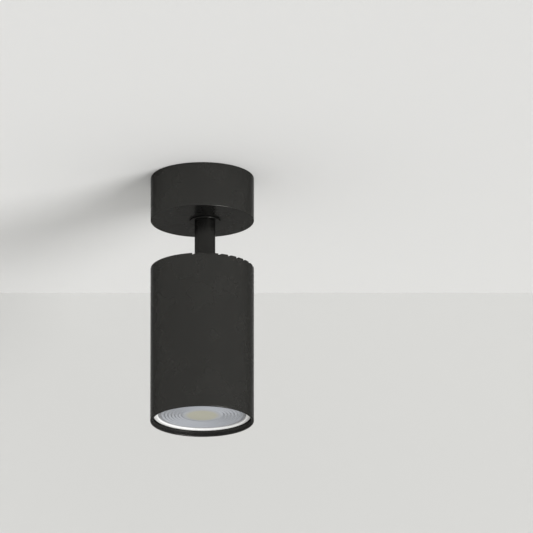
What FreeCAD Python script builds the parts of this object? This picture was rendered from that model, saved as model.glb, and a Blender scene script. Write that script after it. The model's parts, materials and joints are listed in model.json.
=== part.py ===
import FreeCAD, Part
import os
import re
import Sketcher

# A ceiling spotlight on a short stem. A cup against the ceiling holds the stem, which turns in it.
# The stem ends in a hinge inside the head, a round can that tilts about it. The lamp twists into
# a holder in the can. Millimetres, +Z up. The ceiling is at z = 0, and the axis of the cup and of
# the can is the Z axis. The can tilts so that its lamp turns towards +Y.

SIZES = {
    # the cup
    "cup_diameter": 53.0,
    "cup_height": 23.3,
    "cup_wall": 1.5,
    "cup_floor": 2.0,
    # the plate that is screwed to the ceiling
    "plate_gap": 0.5,
    "plate_thickness": 1.5,
    "ceiling_slot_spacing": 34.0,
    "ceiling_slot_length": 9.0,
    "ceiling_slot_width": 4.4,
    "cable_hole_diameter": 12.0,
    "ear_width": 9.0,
    "ear_depth": 11.0,
    "grub_screw_diameter": 3.0,
    "grub_screw_depth": 7.0,
    "grub_screw_angle": -45.0,
    # the supply terminals
    "block_width": 16.0,
    "block_length": 12.0,
    "block_height": 10.5,
    "block_edge": 10.5,
    "block_leg_width": 3.0,
    "block_leg_thickness": 1.6,
    "block_leg_spacing": 8.0,
    "pole_spacing": 8.0,
    "chamber_width": 5.0,
    "chamber_height": 4.6,
    "chamber_floor": 1.6,
    "clip_thickness": 0.5,
    "clip_width": 4.4,
    "clip_length": 8.0,
    "clip_mouth": 1.2,
    "earth_screw_edge": 8.5,
    "earth_screw_diameter": 3.5,
    "earth_head_flats": 6.0,
    "earth_clamp_side": 8.0,
    "earth_clamp_thickness": 0.8,
    # the stem and its swivel in the cup
    "stem_diameter": 10.6,
    "stem_offset": 2.0,
    "stem_bore": 6.8,
    "stem_shown": 25.4,
    "neck_diameter": 10.0,
    "neck_rise": 7.6,
    "collar_diameter": 16.0,
    "collar_thickness": 0.9,
    "friction_washer_diameter": 17.0,
    "friction_washer_thickness": 0.8,
    "stop_washer_diameter": 15.0,
    "stop_washer_thickness": 1.2,
    "stop_tab_reach": 12.0,
    "stop_tab_width": 3.0,
    "stop_lug_width": 3.0,
    "stop_lug_depth": 3.0,
    "stop_lug_radius": 10.5,
    "lock_nut_flats": 14.0,
    "lock_nut_height": 4.0,
    "wire_diameter": 1.6,
    # the can
    "can_diameter": 53.0,
    "can_height": 82.2,
    "can_wall": 1.2,
    "can_top": 7.0,
    "groove_width": 1.8,
    "groove_depth": 1.0,
    "groove_pitch": 5.15,
    "groove_count": 9,
    # the tilt hinge
    "pivot_drop": 12.3,
    "pivot_diameter": 3.0,
    "flats_thickness": 8.6,
    "flats_reach": 6.5,
    "friction_pad_side": 8.0,
    "hinge_gap": 11.0,
    "hinge_ear_thickness": 1.5,
    "hinge_ear_radius": 6.0,
    "tilt_plate_back": 14.0,
    "tilt_plate_back_width": 24.0,
    "pivot_nut_flats": 5.5,
    "pivot_nut_thickness": 2.4,
    "pivot_end": 0.6,
    # machine screws in the head
    "screw_diameter": 3.0,
    "screw_head_flats": 5.5,
    "screw_head_height": 1.8,
    "screw_grip": 3.4,
    # the strap that carries the lampholder
    "strap_width": 14.0,
    "strap_thickness": 1.2,
    "strap_foot": 7.8,
    "strap_screw_edge": 4.5,
    "strap_drop": 12.3,
    "strap_wire_window": 6.0,
    # the lampholder
    "holder_length": 27.0,
    "holder_width": 18.0,
    "holder_corner": 5.0,
    "holder_lip": 4.3,
    "holder_cavity": 3.4,
    "holder_screw_edge": 3.0,
    "holder_screw_head_height": 1.4,
    "holder_wire_window": 2.2,
    "contact_thickness": 0.5,
    "contact_width": 3.6,
    # the lamp
    "lamp_recess": 2.8,
    "lamp_length": 43.0,
    "lamp_rim_height": 4.5,
    "lamp_cone_height": 21.0,
    "lamp_neck_diameter": 24.4,
    "lamp_base_diameter": 21.6,
    "ring_height": 3.7,
    "ring_width": 2.5,
    "lens_thickness": 1.8,
    "lens_recess": 0.4,
    "led_diameter": 16.0,
    "led_thickness": 0.8,
    "board_diameter": 22.0,
    "board_thickness": 1.2,
    "driver_width": 14.0,
    "driver_height": 17.0,
    "driver_thickness": 6.0,
    "pin_spacing": 10.0,
    "pin_diameter": 3.0,
    "pin_length": 7.0,
    "pin_root": 3.0,
    "pin_head_diameter": 5.0,
    "pin_head_height": 2.2,
    "lock_angle": 15.0,
    # clearances
    "running_gap": 0.05,
    "hole_gap": 0.1,
    "slot_gap": 0.4,
    "pin_gap": 0.25,
    "twist_gap": 0.2,
    "lamp_gap": 0.3,
    "strap_gap": 2.6,
}

# Places and radii that follow from the sizes.
PLACES = {
    "cup_radius": "cup_diameter / 2",
    "cup_inner_radius": "cup_radius - cup_wall",
    "plate_radius": "cup_inner_radius - plate_gap",
    "plate_under": "-plate_thickness",
    "plate_flat": "plate_radius * cos(180 / PLATE_SIDES)",
    "grub_screw_outer": "cup_radius - hole_gap",
    "grub_screw_inner": "plate_flat + running_gap",
    "block_offset": "plate_radius - block_edge",
    "block_under": "plate_under - block_height",
    "chamber_low": "block_under + chamber_floor",
    "chamber_top": "chamber_low + chamber_height",
    "earth_screw_offset": "plate_radius - earth_screw_edge",
    "earth_clamp_under": "plate_under - earth_clamp_thickness",
    "floor_top": "-cup_height + cup_floor",
    "neck_radius": "neck_diameter / 2",
    "neck_bore_radius": "neck_radius + running_gap",
    "stem_radius": "stem_diameter / 2",
    "collar_top": "-cup_height - running_gap",
    "collar_under": "-cup_height - collar_thickness",
    "friction_washer_top": "floor_top + friction_washer_thickness",
    "stop_washer_low": "friction_washer_top + running_gap",
    "lock_nut_low": "stop_washer_low + stop_washer_thickness",
    "neck_top": "floor_top + neck_rise",
    "stop_lug_middle": "stop_lug_radius - stem_offset",
    "can_radius": "can_diameter / 2",
    "can_inner_radius": "can_radius - can_wall",
    "can_upper": "-cup_height - stem_shown",
    "can_mouth": "can_upper - can_height",
    "deck_under": "can_upper - can_top",
    "pivot_height": "can_upper - pivot_drop",
    "slot_radius": "stem_radius + slot_gap",
    "hinge_ear_inner": "hinge_gap / 2",
    "hinge_ear_outer": "hinge_ear_inner + hinge_ear_thickness",
    "tilt_plate_under": "deck_under - hinge_ear_thickness",
    "strap_foot_under": "tilt_plate_under - strap_thickness",
    "strap_outer": "can_inner_radius - strap_gap",
    "strap_screw_offset": "strap_outer - strap_screw_edge",
    "strap_top": "deck_under - strap_drop",
    "strap_under": "strap_top - strap_thickness",
    "holder_screw_offset": "holder_length / 2 - holder_screw_edge",
    "lamp_radius": "can_inner_radius - lamp_gap",
    "lamp_front": "can_mouth + lamp_recess",
    "lamp_back": "lamp_front + lamp_length",
    "ring_back": "lamp_front + ring_height",
    "lamp_neck_radius": "lamp_neck_diameter / 2",
    "lamp_neck_low": "ring_back + lamp_rim_height + lamp_cone_height",
    "lens_radius": "lamp_radius - ring_width",
    "lens_front": "lamp_front + lens_recess",
    "lens_back": "lens_front + lens_thickness",
    "led_back": "lens_back + led_thickness + slot_gap",
    "board_back": "led_back + board_thickness",
    "holder_face": "lamp_back + twist_gap",
    "cavity_low": "holder_face + holder_lip",
    "cavity_top": "cavity_low + holder_cavity",
    "pin_top": "lamp_back + pin_length",
    "pin_orbit": "pin_spacing / 2",
    "neck_slot_radius": "pin_diameter / 2 + pin_gap",
    "head_slot_radius": "pin_head_diameter / 2 + pin_gap",
}

# A cutting shape is this many times as long as the wall that it goes through.
THROUGH = 3

# A direction counts as upright when its vertical share is over this.
UPRIGHT = 0.5

# How many sides the many sided pieces have.
PLATE_SIDES = 8
LAMP_SIDES = 24
WIRE_SIDES = 12
COUNTS = {"THROUGH": THROUGH, "PLATE_SIDES": PLATE_SIDES, "LAMP_SIDES": LAMP_SIDES}

doc = FreeCAD.newDocument("CeilingSpotlight")


def fill_sheet(label, cells):
    """A sheet with one named cell per entry."""
    sheet = doc.addObject("Spreadsheet::Sheet", label)
    for row, (name, value) in enumerate(cells.items(), 1):
        sheet.set(f"A{row}", name)
        sheet.set(f"B{row}", str(value))
        sheet.setAlias(f"B{row}", name)
    return sheet


def tied(formula):
    """The formula with each size and place read from its sheet."""
    def with_sheet(word):
        name = word.group(0)
        if name in SIZES:
            return "Sizes." + name
        if name in PLACES:
            return "Places." + name
        return str(COUNTS.get(name, name))
    return re.sub(r"[A-Za-z_]+", with_sheet, str(formula))


sizes = fill_sheet("Sizes", SIZES)
doc.recompute()
places = fill_sheet("Places", {name: "=" + tied(formula) for name, formula in PLACES.items()})
doc.recompute()


def value_of(formula):
    """What a formula comes to, in millimetres or degrees."""
    return float(places.evalExpression(tied(formula)))


# Ways to make a piece. Every length below is a formula of the named sizes.

ALONG = {
    "Z": FreeCAD.Rotation(),
    "X": FreeCAD.Rotation(FreeCAD.Vector(0, 1, 0), 90),
    "Y": FreeCAD.Rotation(FreeCAD.Vector(1, 0, 0), -90),
}


def put(piece, x=0, y=0, z=0, turn=None):
    """Places a piece by its own origin, with an optional turn."""
    if turn is not None:
        piece.Placement = FreeCAD.Placement(FreeCAD.Vector(), turn)
    for letter, formula in zip("xyz", (x, y, z)):
        piece.setExpression(f".Placement.Base.{letter}", tied(formula))
    return piece


def cylinder(label, radius, height, x=0, y=0, z=0, along="Z"):
    """A round bar that starts at x, y, z and runs in the plus direction of an axis."""
    bar = doc.addObject("Part::Cylinder", label)
    bar.setExpression("Radius", tied(radius))
    bar.setExpression("Height", tied(height))
    return put(bar, x, y, z, ALONG[along])


def box(label, low, high):
    """A block between two corners."""
    block = doc.addObject("Part::Box", label)
    for side, start, end in zip(("Length", "Width", "Height"), low, high):
        block.setExpression(side, tied(f"({end}) - ({start})"))
    return put(block, *low)


def prism(label, sides, radius, height, x=0, y=0, z=0, turn=None):
    """A bar of equal sides, with this radius to its corners, from x, y, z along its own axis."""
    bar = doc.addObject("Part::Prism", label)
    bar.Polygon = sides
    bar.setExpression("Circumradius", tied(radius))
    bar.setExpression("Height", tied(height))
    return put(bar, x, y, z, turn)


def hexagon(label, flats, height, x=0, y=0, z=0, along="Z"):
    """A six sided bar with this distance across its flats."""
    return prism(label, 6, f"({flats}) / 2 / cos(30)", height, x, y, z, ALONG[along])


def fuse(label, pieces):
    joined = doc.addObject("Part::MultiFuse", label)
    joined.Shapes = pieces
    joined.Refine = True
    return joined


def cut(label, base, tools):
    """The base with every tool taken out of it."""
    result = doc.addObject("Part::Cut", label)
    result.Base = base
    result.Tool = tools[0] if len(tools) == 1 else fuse(label + "_tools", tools)
    return result


def common(label, first, second):
    shared = doc.addObject("Part::Common", label)
    shared.Base, shared.Tool = first, second
    return shared


def group(label, pieces):
    """Several separate solids under one name."""
    together = doc.addObject("Part::Compound", label)
    together.Links = pieces
    return together


def origin_plane(body, role):
    return next(f for f in body.Origin.OriginFeatures if f.Role == role)


def outline(body, label, role, corners):
    """A closed outline of straight lines on one of the body's own planes."""
    sketch = body.newObject("Sketcher::SketchObject", label)
    sketch.AttachmentSupport = [(origin_plane(body, role), "")]
    sketch.MapMode = "FlatFace"
    points = [FreeCAD.Vector(value_of(x), value_of(y), 0) for x, y in corners]
    for start, end in zip(points, points[1:] + points[:1]):
        sketch.addGeometry(Part.LineSegment(start, end), False)
    for line in range(len(points)):
        sketch.addConstraint(
            Sketcher.Constraint("Coincident", line, 2, (line + 1) % len(points), 1)
        )
    for line, (corner, point) in enumerate(zip(corners, points)):
        for kind, formula, distance in zip(("DistanceX", "DistanceY"), corner, point):
            place = sketch.addConstraint(Sketcher.Constraint(kind, -1, 1, line, 1, distance))
            sketch.setExpression(f"Constraints[{place}]", tied(formula))
    return sketch


def turned(label, corners, x=0, y=0):
    """A round body: an outline of (radius, height) corners spun about a vertical axis at x, y."""
    body = doc.addObject("PartDesign::Body", label)
    sketch = outline(body, label + "_profile", "XZ_Plane", corners)
    spin = body.newObject("PartDesign::Revolution", label + "_spin")
    spin.Profile = sketch
    spin.ReferenceAxis = (sketch, ["V_Axis"])
    spin.Angle = 360
    return put(body, x, y)


def ring(label, outer, inner, low, high, x=0, y=0):
    """A flat ring."""
    return turned(label, [(inner, low), (outer, low), (outer, high), (inner, high)], x, y)


def padded(label, corners, role, thickness, middle=False):
    """A body of even thickness from an outline, or half of it each side of its plane."""
    body = doc.addObject("PartDesign::Body", label)
    sketch = outline(body, label + "_outline", role, corners)
    pad = body.newObject("PartDesign::Pad", label + "_pad")
    pad.Profile = sketch
    pad.Midplane = middle
    pad.setExpression("Length", tied(thickness))
    return body


def rounded(body, radius, is_wanted):
    """Rounds the edges of a body that a test picks."""
    doc.recompute()
    base = body.Tip
    names = [f"Edge{n}" for n, e in enumerate(base.Shape.Edges, 1) if is_wanted(e)]
    fillet = body.newObject("PartDesign::Fillet", body.Label + "_rounding")
    fillet.Base = (base, names)
    fillet.setExpression("Radius", tied(radius))
    return body


def screw(label, diameter, head_flats, head_height, grip, x, y, face):
    """A hexagon head screw that enters upwards through a face at that height."""
    return fuse(label, [
        hexagon(label + "_head", head_flats, head_height, x, y, f"({face}) - ({head_height})"),
        cylinder(label + "_shank", f"({diameter}) / 2", grip, x, y, face),
    ])


def hole_for(label, diameter, height, x, y, z):
    """A vertical clearance hole for a screw of that diameter."""
    return cylinder(label, f"({diameter}) / 2 + hole_gap / 2", height, x, y, z)


def blind_hole(label, diameter, depth, x, face):
    """A clearance hole that reaches this deep each side of a face."""
    return hole_for(label, diameter, f"({depth}) * 2", x, 0, f"({face}) - ({depth})")


def radial(label, radius, length, inner, height, angle):
    """A round bar that points away from the axis, from the inner radius outwards."""
    bar = doc.addObject("Part::Cylinder", label)
    bar.setExpression("Radius", tied(radius))
    bar.setExpression("Height", tied(length))
    turn = FreeCAD.Rotation(angle, 90, 0)
    return put(bar, f"({inner}) * cos({angle})", f"({inner}) * sin({angle})", height, turn)


GRUB_ANGLES = [SIZES["grub_screw_angle"], SIZES["grub_screw_angle"] + 180]
BRACKET_SCREW_PLACES = [f"{side} * strap_screw_offset" for side in (-1, 1)]
HOLDER_SCREW_PLACES = [f"{side} * holder_screw_offset" for side in (-1, 1)]


# The cup: a turned aluminium shell, open at the ceiling. The stem's hole is off its centre, and
# the lug that stops the swivel stands on the floor beside it.

def make_cup():
    shell = turned("cup_shell", [
        ("0", "-cup_height"),
        ("cup_radius", "-cup_height"),
        ("cup_radius", "0"),
        ("cup_inner_radius", "0"),
        ("cup_inner_radius", "floor_top"),
        ("0", "floor_top"),
    ])
    half_depth = "stop_lug_depth / 2"
    lug = box("stop_lug",
              ("-stop_lug_width / 2", f"stop_lug_middle - {half_depth}", "floor_top - cup_floor / 2"),
              ("stop_lug_width / 2", f"stop_lug_middle + {half_depth}", "lock_nut_low"))
    holes = [cylinder("stem_hole", "neck_radius + hole_gap / 2", "cup_floor * THROUGH",
                      0, "-stem_offset", "-cup_height - cup_floor")]
    for angle in GRUB_ANGLES:
        holes.append(radial("cup_grub_hole", "grub_screw_diameter / 2 + running_gap",
                            "cup_wall * THROUGH", "cup_inner_radius - cup_wall",
                            "-grub_screw_depth", angle))
    cut("canopy_cup", fuse("cup_cast", [shell, lug]), holes)


# The plate on the ceiling: an eight sided steel plate with slots for the two ceiling screws, a
# hole for the supply cable, windows for the terminals and two ears, bent down from opposite
# sides, that the grub screws in the cup press on.

def ceiling_slot(side):
    centre = f"{side} * ceiling_slot_spacing / 2"
    half = "(ceiling_slot_length - ceiling_slot_width) / 2"
    reach = "ceiling_slot_width / 2"
    low = "plate_under - plate_thickness"
    ends = [
        cylinder("slot_end", reach, "plate_thickness * THROUGH", f"{centre} + {end} * {half}", 0, low)
        for end in (-1, 1)
    ]
    middle = box("slot_middle", (f"{centre} - {half}", f"-{reach}", low),
                 (f"{centre} + {half}", reach, "plate_thickness"))
    return ends + [middle]


def make_plate():
    first_corner = GRUB_ANGLES[0] + 180 / PLATE_SIDES
    blanks = [prism("plate_blank", PLATE_SIDES, "plate_radius", "plate_thickness", 0, 0,
                    "plate_under", FreeCAD.Rotation(first_corner, 0, 0))]
    below = "plate_under - plate_thickness"
    holes = ceiling_slot(-1) + ceiling_slot(1)
    holes.append(cylinder("cable_hole", "cable_hole_diameter / 2", "plate_thickness * THROUGH",
                          0, 0, below))
    holes.append(hole_for("earth_screw_hole", "earth_screw_diameter", "plate_thickness * THROUGH",
                          0, "-earth_screw_offset", below))
    for end in (-1, 1):
        holes.append(block_leg("block_window", end, "hole_gap / 2", below, "plate_thickness"))
    for angle in GRUB_ANGLES:
        ear = doc.addObject("Part::Box", "ear")
        ear.setExpression("Length", tied("plate_thickness"))
        ear.setExpression("Width", tied("ear_width"))
        ear.setExpression("Height", tied("ear_depth"))
        inner = "(plate_flat - plate_thickness)"
        along = f"{inner} * cos({angle}) + ear_width / 2 * sin({angle})"
        across = f"{inner} * sin({angle}) - ear_width / 2 * cos({angle})"
        blanks.append(put(ear, along, across, "-ear_depth", FreeCAD.Rotation(angle, 0, 0)))
    cut("mounting_plate", fuse("plate_with_ears", blanks), holes)
    group("canopy_grub_screws", [
        radial("grub_screw", "grub_screw_diameter / 2", "grub_screw_outer - grub_screw_inner",
               "grub_screw_inner", "-grub_screw_depth", angle)
        for angle in GRUB_ANGLES
    ])


# The supply terminals: a two pole push-in block that snaps into the plate. Each pole is a
# chamber with a bent spring clip. The earth screw holds a square clamp on the plate.

def block_leg(label, end, gap, low, high):
    """A leg of the block, or with a gap its window in the plate."""
    middle = f"block_offset + {end} * block_leg_spacing / 2"
    return box(label,
               (f"-block_leg_width / 2 - {gap}", f"{middle} - block_leg_thickness / 2 - {gap}", low),
               (f"block_leg_width / 2 + {gap}", f"{middle} + block_leg_thickness / 2 + {gap}", high))


def spring_clip(x):
    """A strip bent to a floor, an end wall and a tongue that slants back down onto the wire."""
    start = "block_offset - clip_length / 2"
    end = "block_offset + clip_length / 2"
    floor = "chamber_low + clip_thickness"
    roof = "chamber_top - hole_gap"
    clip = padded("clip", [
        (start, "chamber_low"),
        (end, "chamber_low"),
        (end, roof),
        (start, f"{floor} + clip_mouth"),
        (start, f"{floor} + clip_mouth - clip_thickness"),
        (f"{end} - clip_thickness", f"{roof} - clip_thickness"),
        (f"{end} - clip_thickness", floor),
        (start, floor),
    ], "YZ_Plane", "clip_width", middle=True)
    return put(clip, x)


def make_terminals():
    blanks = [box("block_blank",
                  ("-block_width / 2", "block_offset - block_length / 2", "block_under"),
                  ("block_width / 2", "block_offset + block_length / 2", "plate_under"))]
    for end in (-1, 1):
        blanks.append(block_leg("block_leg", end, "0", "plate_under - plate_thickness", "-hole_gap"))
    chambers = []
    clips = []
    for side in (-1, 1):
        x = f"{side} * pole_spacing / 2"
        chambers.append(box("chamber",
                            (f"{x} - chamber_width / 2", "block_offset - block_length", "chamber_low"),
                            (f"{x} + chamber_width / 2", "block_offset + block_length", "chamber_top")))
        clips.append(spring_clip(x))
    cut("terminal_block", fuse("block_moulding", blanks), chambers)
    group("terminal_clips", clips)
    half_side = "earth_clamp_side / 2"
    clamp = box("clamp_blank", (f"-{half_side}", f"-earth_screw_offset - {half_side}", "earth_clamp_under"),
                (half_side, f"-earth_screw_offset + {half_side}", "plate_under"))
    cut("earth_clamp", clamp, [hole_for("clamp_hole", "earth_screw_diameter",
                                        "earth_clamp_thickness * THROUGH", 0, "-earth_screw_offset",
                                        "earth_clamp_under - earth_clamp_thickness")])
    screw("earth_screw", "earth_screw_diameter", "earth_head_flats", "screw_head_height",
          "plate_thickness + earth_clamp_thickness - hole_gap", 0, "-earth_screw_offset",
          "earth_clamp_under")


# The swivel: the stem's collar under the cup and the nut in it clamp the floor of the cup over a
# nylon washer. A tab on the stop washer meets the lug after most of a turn either way.

def make_swivel():
    axis = {"x": 0, "y": "-stem_offset"}
    ring("swivel_friction_washer", "friction_washer_diameter / 2", "neck_bore_radius",
         "floor_top", "friction_washer_top", **axis)
    disc = cylinder("stop_disc", "stop_washer_diameter / 2", "stop_washer_thickness",
                    z="stop_washer_low", **axis)
    tab = box("stop_tab", ("-stop_tab_width / 2", "-stem_offset - stop_tab_reach", "stop_washer_low"),
              ("stop_tab_width / 2", "-stem_offset", "lock_nut_low"))
    bore = cylinder("stop_bore", "neck_bore_radius", "stop_washer_thickness * THROUGH",
                    z="stop_washer_low - stop_washer_thickness", **axis)
    cut("stop_washer", fuse("stop_blank", [disc, tab]), [bore])
    nut = hexagon("nut_blank", "lock_nut_flats", "lock_nut_height", z="lock_nut_low", **axis)
    nut_bore = cylinder("nut_bore", "neck_bore_radius", "lock_nut_height * THROUGH",
                        z="lock_nut_low - lock_nut_height", **axis)
    cut("lock_nut", nut, [nut_bore])


# The stem: a tube with a collar and a thinner threaded neck above it. Its lower end is round about
# the pivot, with two flats for the friction pads and a cross hole for the pivot bolt. The wires
# pass the bolt.

def make_stem():
    low = "pivot_height - stem_radius"
    tube = turned("stem_blank", [
        ("stem_bore / 2", low),
        ("stem_radius", low),
        ("stem_radius", "collar_under"),
        ("collar_diameter / 2", "collar_under"),
        ("collar_diameter / 2", "collar_top"),
        ("neck_radius", "collar_top"),
        ("neck_radius", "neck_top"),
        ("stem_bore / 2", "neck_top"),
    ], 0, "-stem_offset")
    eye = cylinder("stem_eye", "stem_radius", "stem_diameter * 2", "-stem_diameter",
                   "-stem_offset", "pivot_height", "X")
    below = box("stem_end",
                ("-stem_diameter", "-stem_offset - stem_diameter", "pivot_height - stem_diameter"),
                ("stem_diameter", "-stem_offset + stem_diameter", "pivot_height"))
    tools = [
        cut("stem_end_corners", below, [eye]),
        cylinder("pivot_hole", "pivot_diameter / 2 + hole_gap / 2", "stem_diameter * 2",
                 "-stem_diameter", "-stem_offset", "pivot_height", "X"),
    ]
    flat = "flats_thickness / 2"
    for low_x, high_x in (("-stem_diameter", f"-{flat}"), (flat, "stem_diameter")):
        tools.append(box("flat",
                         (low_x, "-stem_offset - stem_diameter", "pivot_height - stem_diameter"),
                         (high_x, "-stem_offset + stem_diameter", "pivot_height + flats_reach")))
    cut("stem_tube", tube, tools)
    across = "pivot_diameter / 2 + wire_diameter / 2 + hole_gap"
    beside = "wire_diameter / 2 + running_gap"
    wire_places = [(f"-({beside})", across), (beside, across), ("0", f"-({across})")]
    group("stem_wires", [
        prism("wire", WIRE_SIDES, "wire_diameter / 2", "neck_top - pivot_height + stem_radius / 2", x,
              f"-stem_offset + {y}", "pivot_height - stem_radius / 2")
        for x, y in wire_places
    ])


# The can: a turned aluminium shell with a thick top. Nine grooves run across the top as cooling
# fins. The tilt slot runs from round the stem out to the edge and down the wall, and ends in a
# half circle about the pivot, so the stem lies in it when the can is level.

def make_can():
    shell = turned("can_shell", [
        ("0", "can_upper"),
        ("can_radius", "can_upper"),
        ("can_radius", "can_mouth"),
        ("can_inner_radius", "can_mouth"),
        ("can_inner_radius", "deck_under"),
        ("0", "deck_under"),
    ])
    first = "-groove_pitch * (groove_count - 1) / 2"
    groove_sketch = outline(shell, "groove_outline", "XZ_Plane", [
        (f"{first} - groove_width / 2", "can_upper - groove_depth"),
        (f"{first} + groove_width / 2", "can_upper - groove_depth"),
        (f"{first} + groove_width / 2", "can_upper + groove_depth"),
        (f"{first} - groove_width / 2", "can_upper + groove_depth"),
    ])
    groove = shell.newObject("PartDesign::Pocket", "groove")
    groove.Profile = groove_sketch
    groove.Midplane = True
    groove.setExpression("Length", tied("can_diameter * 2"))
    doc.recompute()
    grooves = shell.newObject("PartDesign::LinearPattern", "grooves")
    grooves.Originals = [groove]
    grooves.Direction = (groove_sketch, ["H_Axis"])
    grooves.setExpression("Length", tied("groove_pitch * (groove_count - 1)"))
    grooves.setExpression("Occurrences", tied("groove_count"))
    shell.Tip = grooves
    slot_top = "can_upper + groove_depth"
    tools = [
        cylinder("slot_round", "slot_radius", f"{slot_top} - pivot_height",
                 0, "-stem_offset", "pivot_height"),
        cylinder("slot_end_round", "slot_radius", "can_diameter",
                 0, "-stem_offset", "pivot_height", "Y"),
        box("slot_run", ("-slot_radius", "-stem_offset", "pivot_height"),
            ("slot_radius", "can_diameter", slot_top)),
    ]
    for x in BRACKET_SCREW_PLACES:
        tools.append(blind_hole("screw_hole", "screw_diameter", "screw_grip", x, "deck_under"))
    cut("head_body", shell, tools)


# The tilt hinge: a folded steel bracket under the top of the can. Its ears stand each side of the
# stem's flats, with a nylon friction pad between, and one bolt goes through them all. Its wings lie
# over the feet of the strap, and the same two screws hold both.

def friction_pad(start, end):
    """A square pad with a hole for the pivot bolt, between these two places across the hinge."""
    half = "friction_pad_side / 2"
    blank = box("pad_blank", (start, f"-stem_offset - {half}", f"pivot_height - {half}"),
                (end, f"-stem_offset + {half}", f"pivot_height + {half}"))
    bore = cylinder("pad_bore", "pivot_diameter / 2 + running_gap", "hinge_gap * THROUGH",
                    "-hinge_gap", "-stem_offset", "pivot_height", "X")
    return cut("friction_pad", blank, [bore])


def make_hinge():
    wing_end, wing_side = "strap_outer", "strap_width / 2"
    back_side, back_end = "tilt_plate_back_width / 2", "-tilt_plate_back"
    slot_side, slot_end = "hinge_ear_inner", "-stem_offset - hinge_ear_radius"
    right = [
        (slot_side, slot_end),
        (slot_side, wing_side),
        (wing_end, wing_side),
        (wing_end, f"-({wing_side})"),
        (back_side, f"-({wing_side})"),
        (back_side, back_end),
    ]
    corners = right + [(f"-({x})", y) for x, y in reversed(right)]
    plate = padded("tilt_plate", corners, "XY_Plane", "hinge_ear_thickness")
    blanks = [put(plate, 0, 0, "tilt_plate_under")]
    ear_limits = ("-stem_offset - hinge_ear_radius", "-stem_offset + hinge_ear_radius")
    for start, end in (("-hinge_ear_outer", "-hinge_ear_inner"), ("hinge_ear_inner", "hinge_ear_outer")):
        blanks.append(box("hinge_ear", (start, ear_limits[0], "pivot_height"),
                          (end, ear_limits[1], "deck_under")))
        blanks.append(cylinder("hinge_ear_end", "hinge_ear_radius", "hinge_ear_thickness", start,
                               "-stem_offset", "pivot_height", "X"))
    tools = [
        box("hinge_limit", ("-can_radius", "-can_radius", "deck_under"),
            ("can_radius", "can_radius", "can_upper")),
        cylinder("hinge_hole", "pivot_diameter / 2 + hole_gap / 2", "can_diameter",
                 "-can_radius", "-stem_offset", "pivot_height", "X"),
    ]
    for x in BRACKET_SCREW_PLACES:
        tools.append(hole_for("wing_hole", "screw_diameter", "hinge_ear_thickness * THROUGH", x, 0,
                              "tilt_plate_under - hinge_ear_thickness"))
    cut("tilt_bracket", fuse("tilt_blank", blanks), tools)
    flat = "(flats_thickness / 2 + running_gap)"
    group("tilt_friction_pads", [
        friction_pad(start, end)
        for start, end in (("-hinge_ear_inner", f"-{flat}"), (flat, "hinge_ear_inner"))
    ])
    nut = hexagon("pivot_nut_blank", "pivot_nut_flats", "pivot_nut_thickness",
                  "hinge_ear_outer", "-stem_offset", "pivot_height", "X")
    bore = cylinder("pivot_nut_bore", "pivot_diameter / 2 + running_gap",
                    "pivot_nut_thickness * THROUGH", "hinge_ear_outer - pivot_nut_thickness",
                    "-stem_offset", "pivot_height", "X")
    cut("pivot_nut", nut, [bore])
    fuse("pivot_bolt", [
        hexagon("pivot_head", "screw_head_flats", "screw_head_height",
                "-hinge_ear_outer - screw_head_height", "-stem_offset", "pivot_height", "X"),
        cylinder("pivot_shank", "pivot_diameter / 2",
                 "hinge_ear_outer * 2 + pivot_nut_thickness + pivot_end",
                 "-hinge_ear_outer", "-stem_offset", "pivot_height", "X"),
    ])


# The strap: bent like a hat, with its feet screwed up under the bracket and the lampholder hung
# under its crown.

def make_strap():
    foot_end = "strap_outer - strap_foot"
    inner_leg = "strap_outer - strap_thickness"
    right = [
        (foot_end, "tilt_plate_under"),
        ("strap_outer", "tilt_plate_under"),
        ("strap_outer", "strap_under"),
    ]
    inside = [
        (inner_leg, "strap_top"),
        (inner_leg, "strap_foot_under"),
        (foot_end, "strap_foot_under"),
    ]
    corners = right + [(f"-({x})", z) for x, z in reversed(right)]
    corners += [(f"-({x})", z) for x, z in reversed(inside)] + inside
    strap = padded("strap_blank", corners, "XZ_Plane", "strap_width", middle=True)
    window = "strap_wire_window / 2"
    tools = [box("strap_window", (f"-{window}", f"-{window}", "strap_under - strap_thickness"),
                 (window, window, "strap_top + strap_thickness"))]
    for x in BRACKET_SCREW_PLACES:
        tools.append(hole_for("foot_hole", "screw_diameter", "strap_thickness * THROUGH", x, 0,
                              "strap_foot_under - strap_thickness"))
    for x in HOLDER_SCREW_PLACES:
        tools.append(hole_for("crown_hole", "screw_diameter", "strap_thickness * THROUGH", x, 0,
                              "strap_under - strap_thickness"))
    cut("holder_bracket", strap, tools)
    group("bracket_screws", [
        screw("bracket_screw", "screw_diameter", "screw_head_flats", "screw_head_height",
              "screw_grip - hole_gap + hinge_ear_thickness + strap_thickness", x, 0,
              "strap_foot_under")
        for x in BRACKET_SCREW_PLACES
    ])


# The lampholder: a ceramic block with two keyhole slots. A pin's head enters at the wide end of a
# slot, and a part turn brings its neck into the narrow end, where the lip holds the head.

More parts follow.
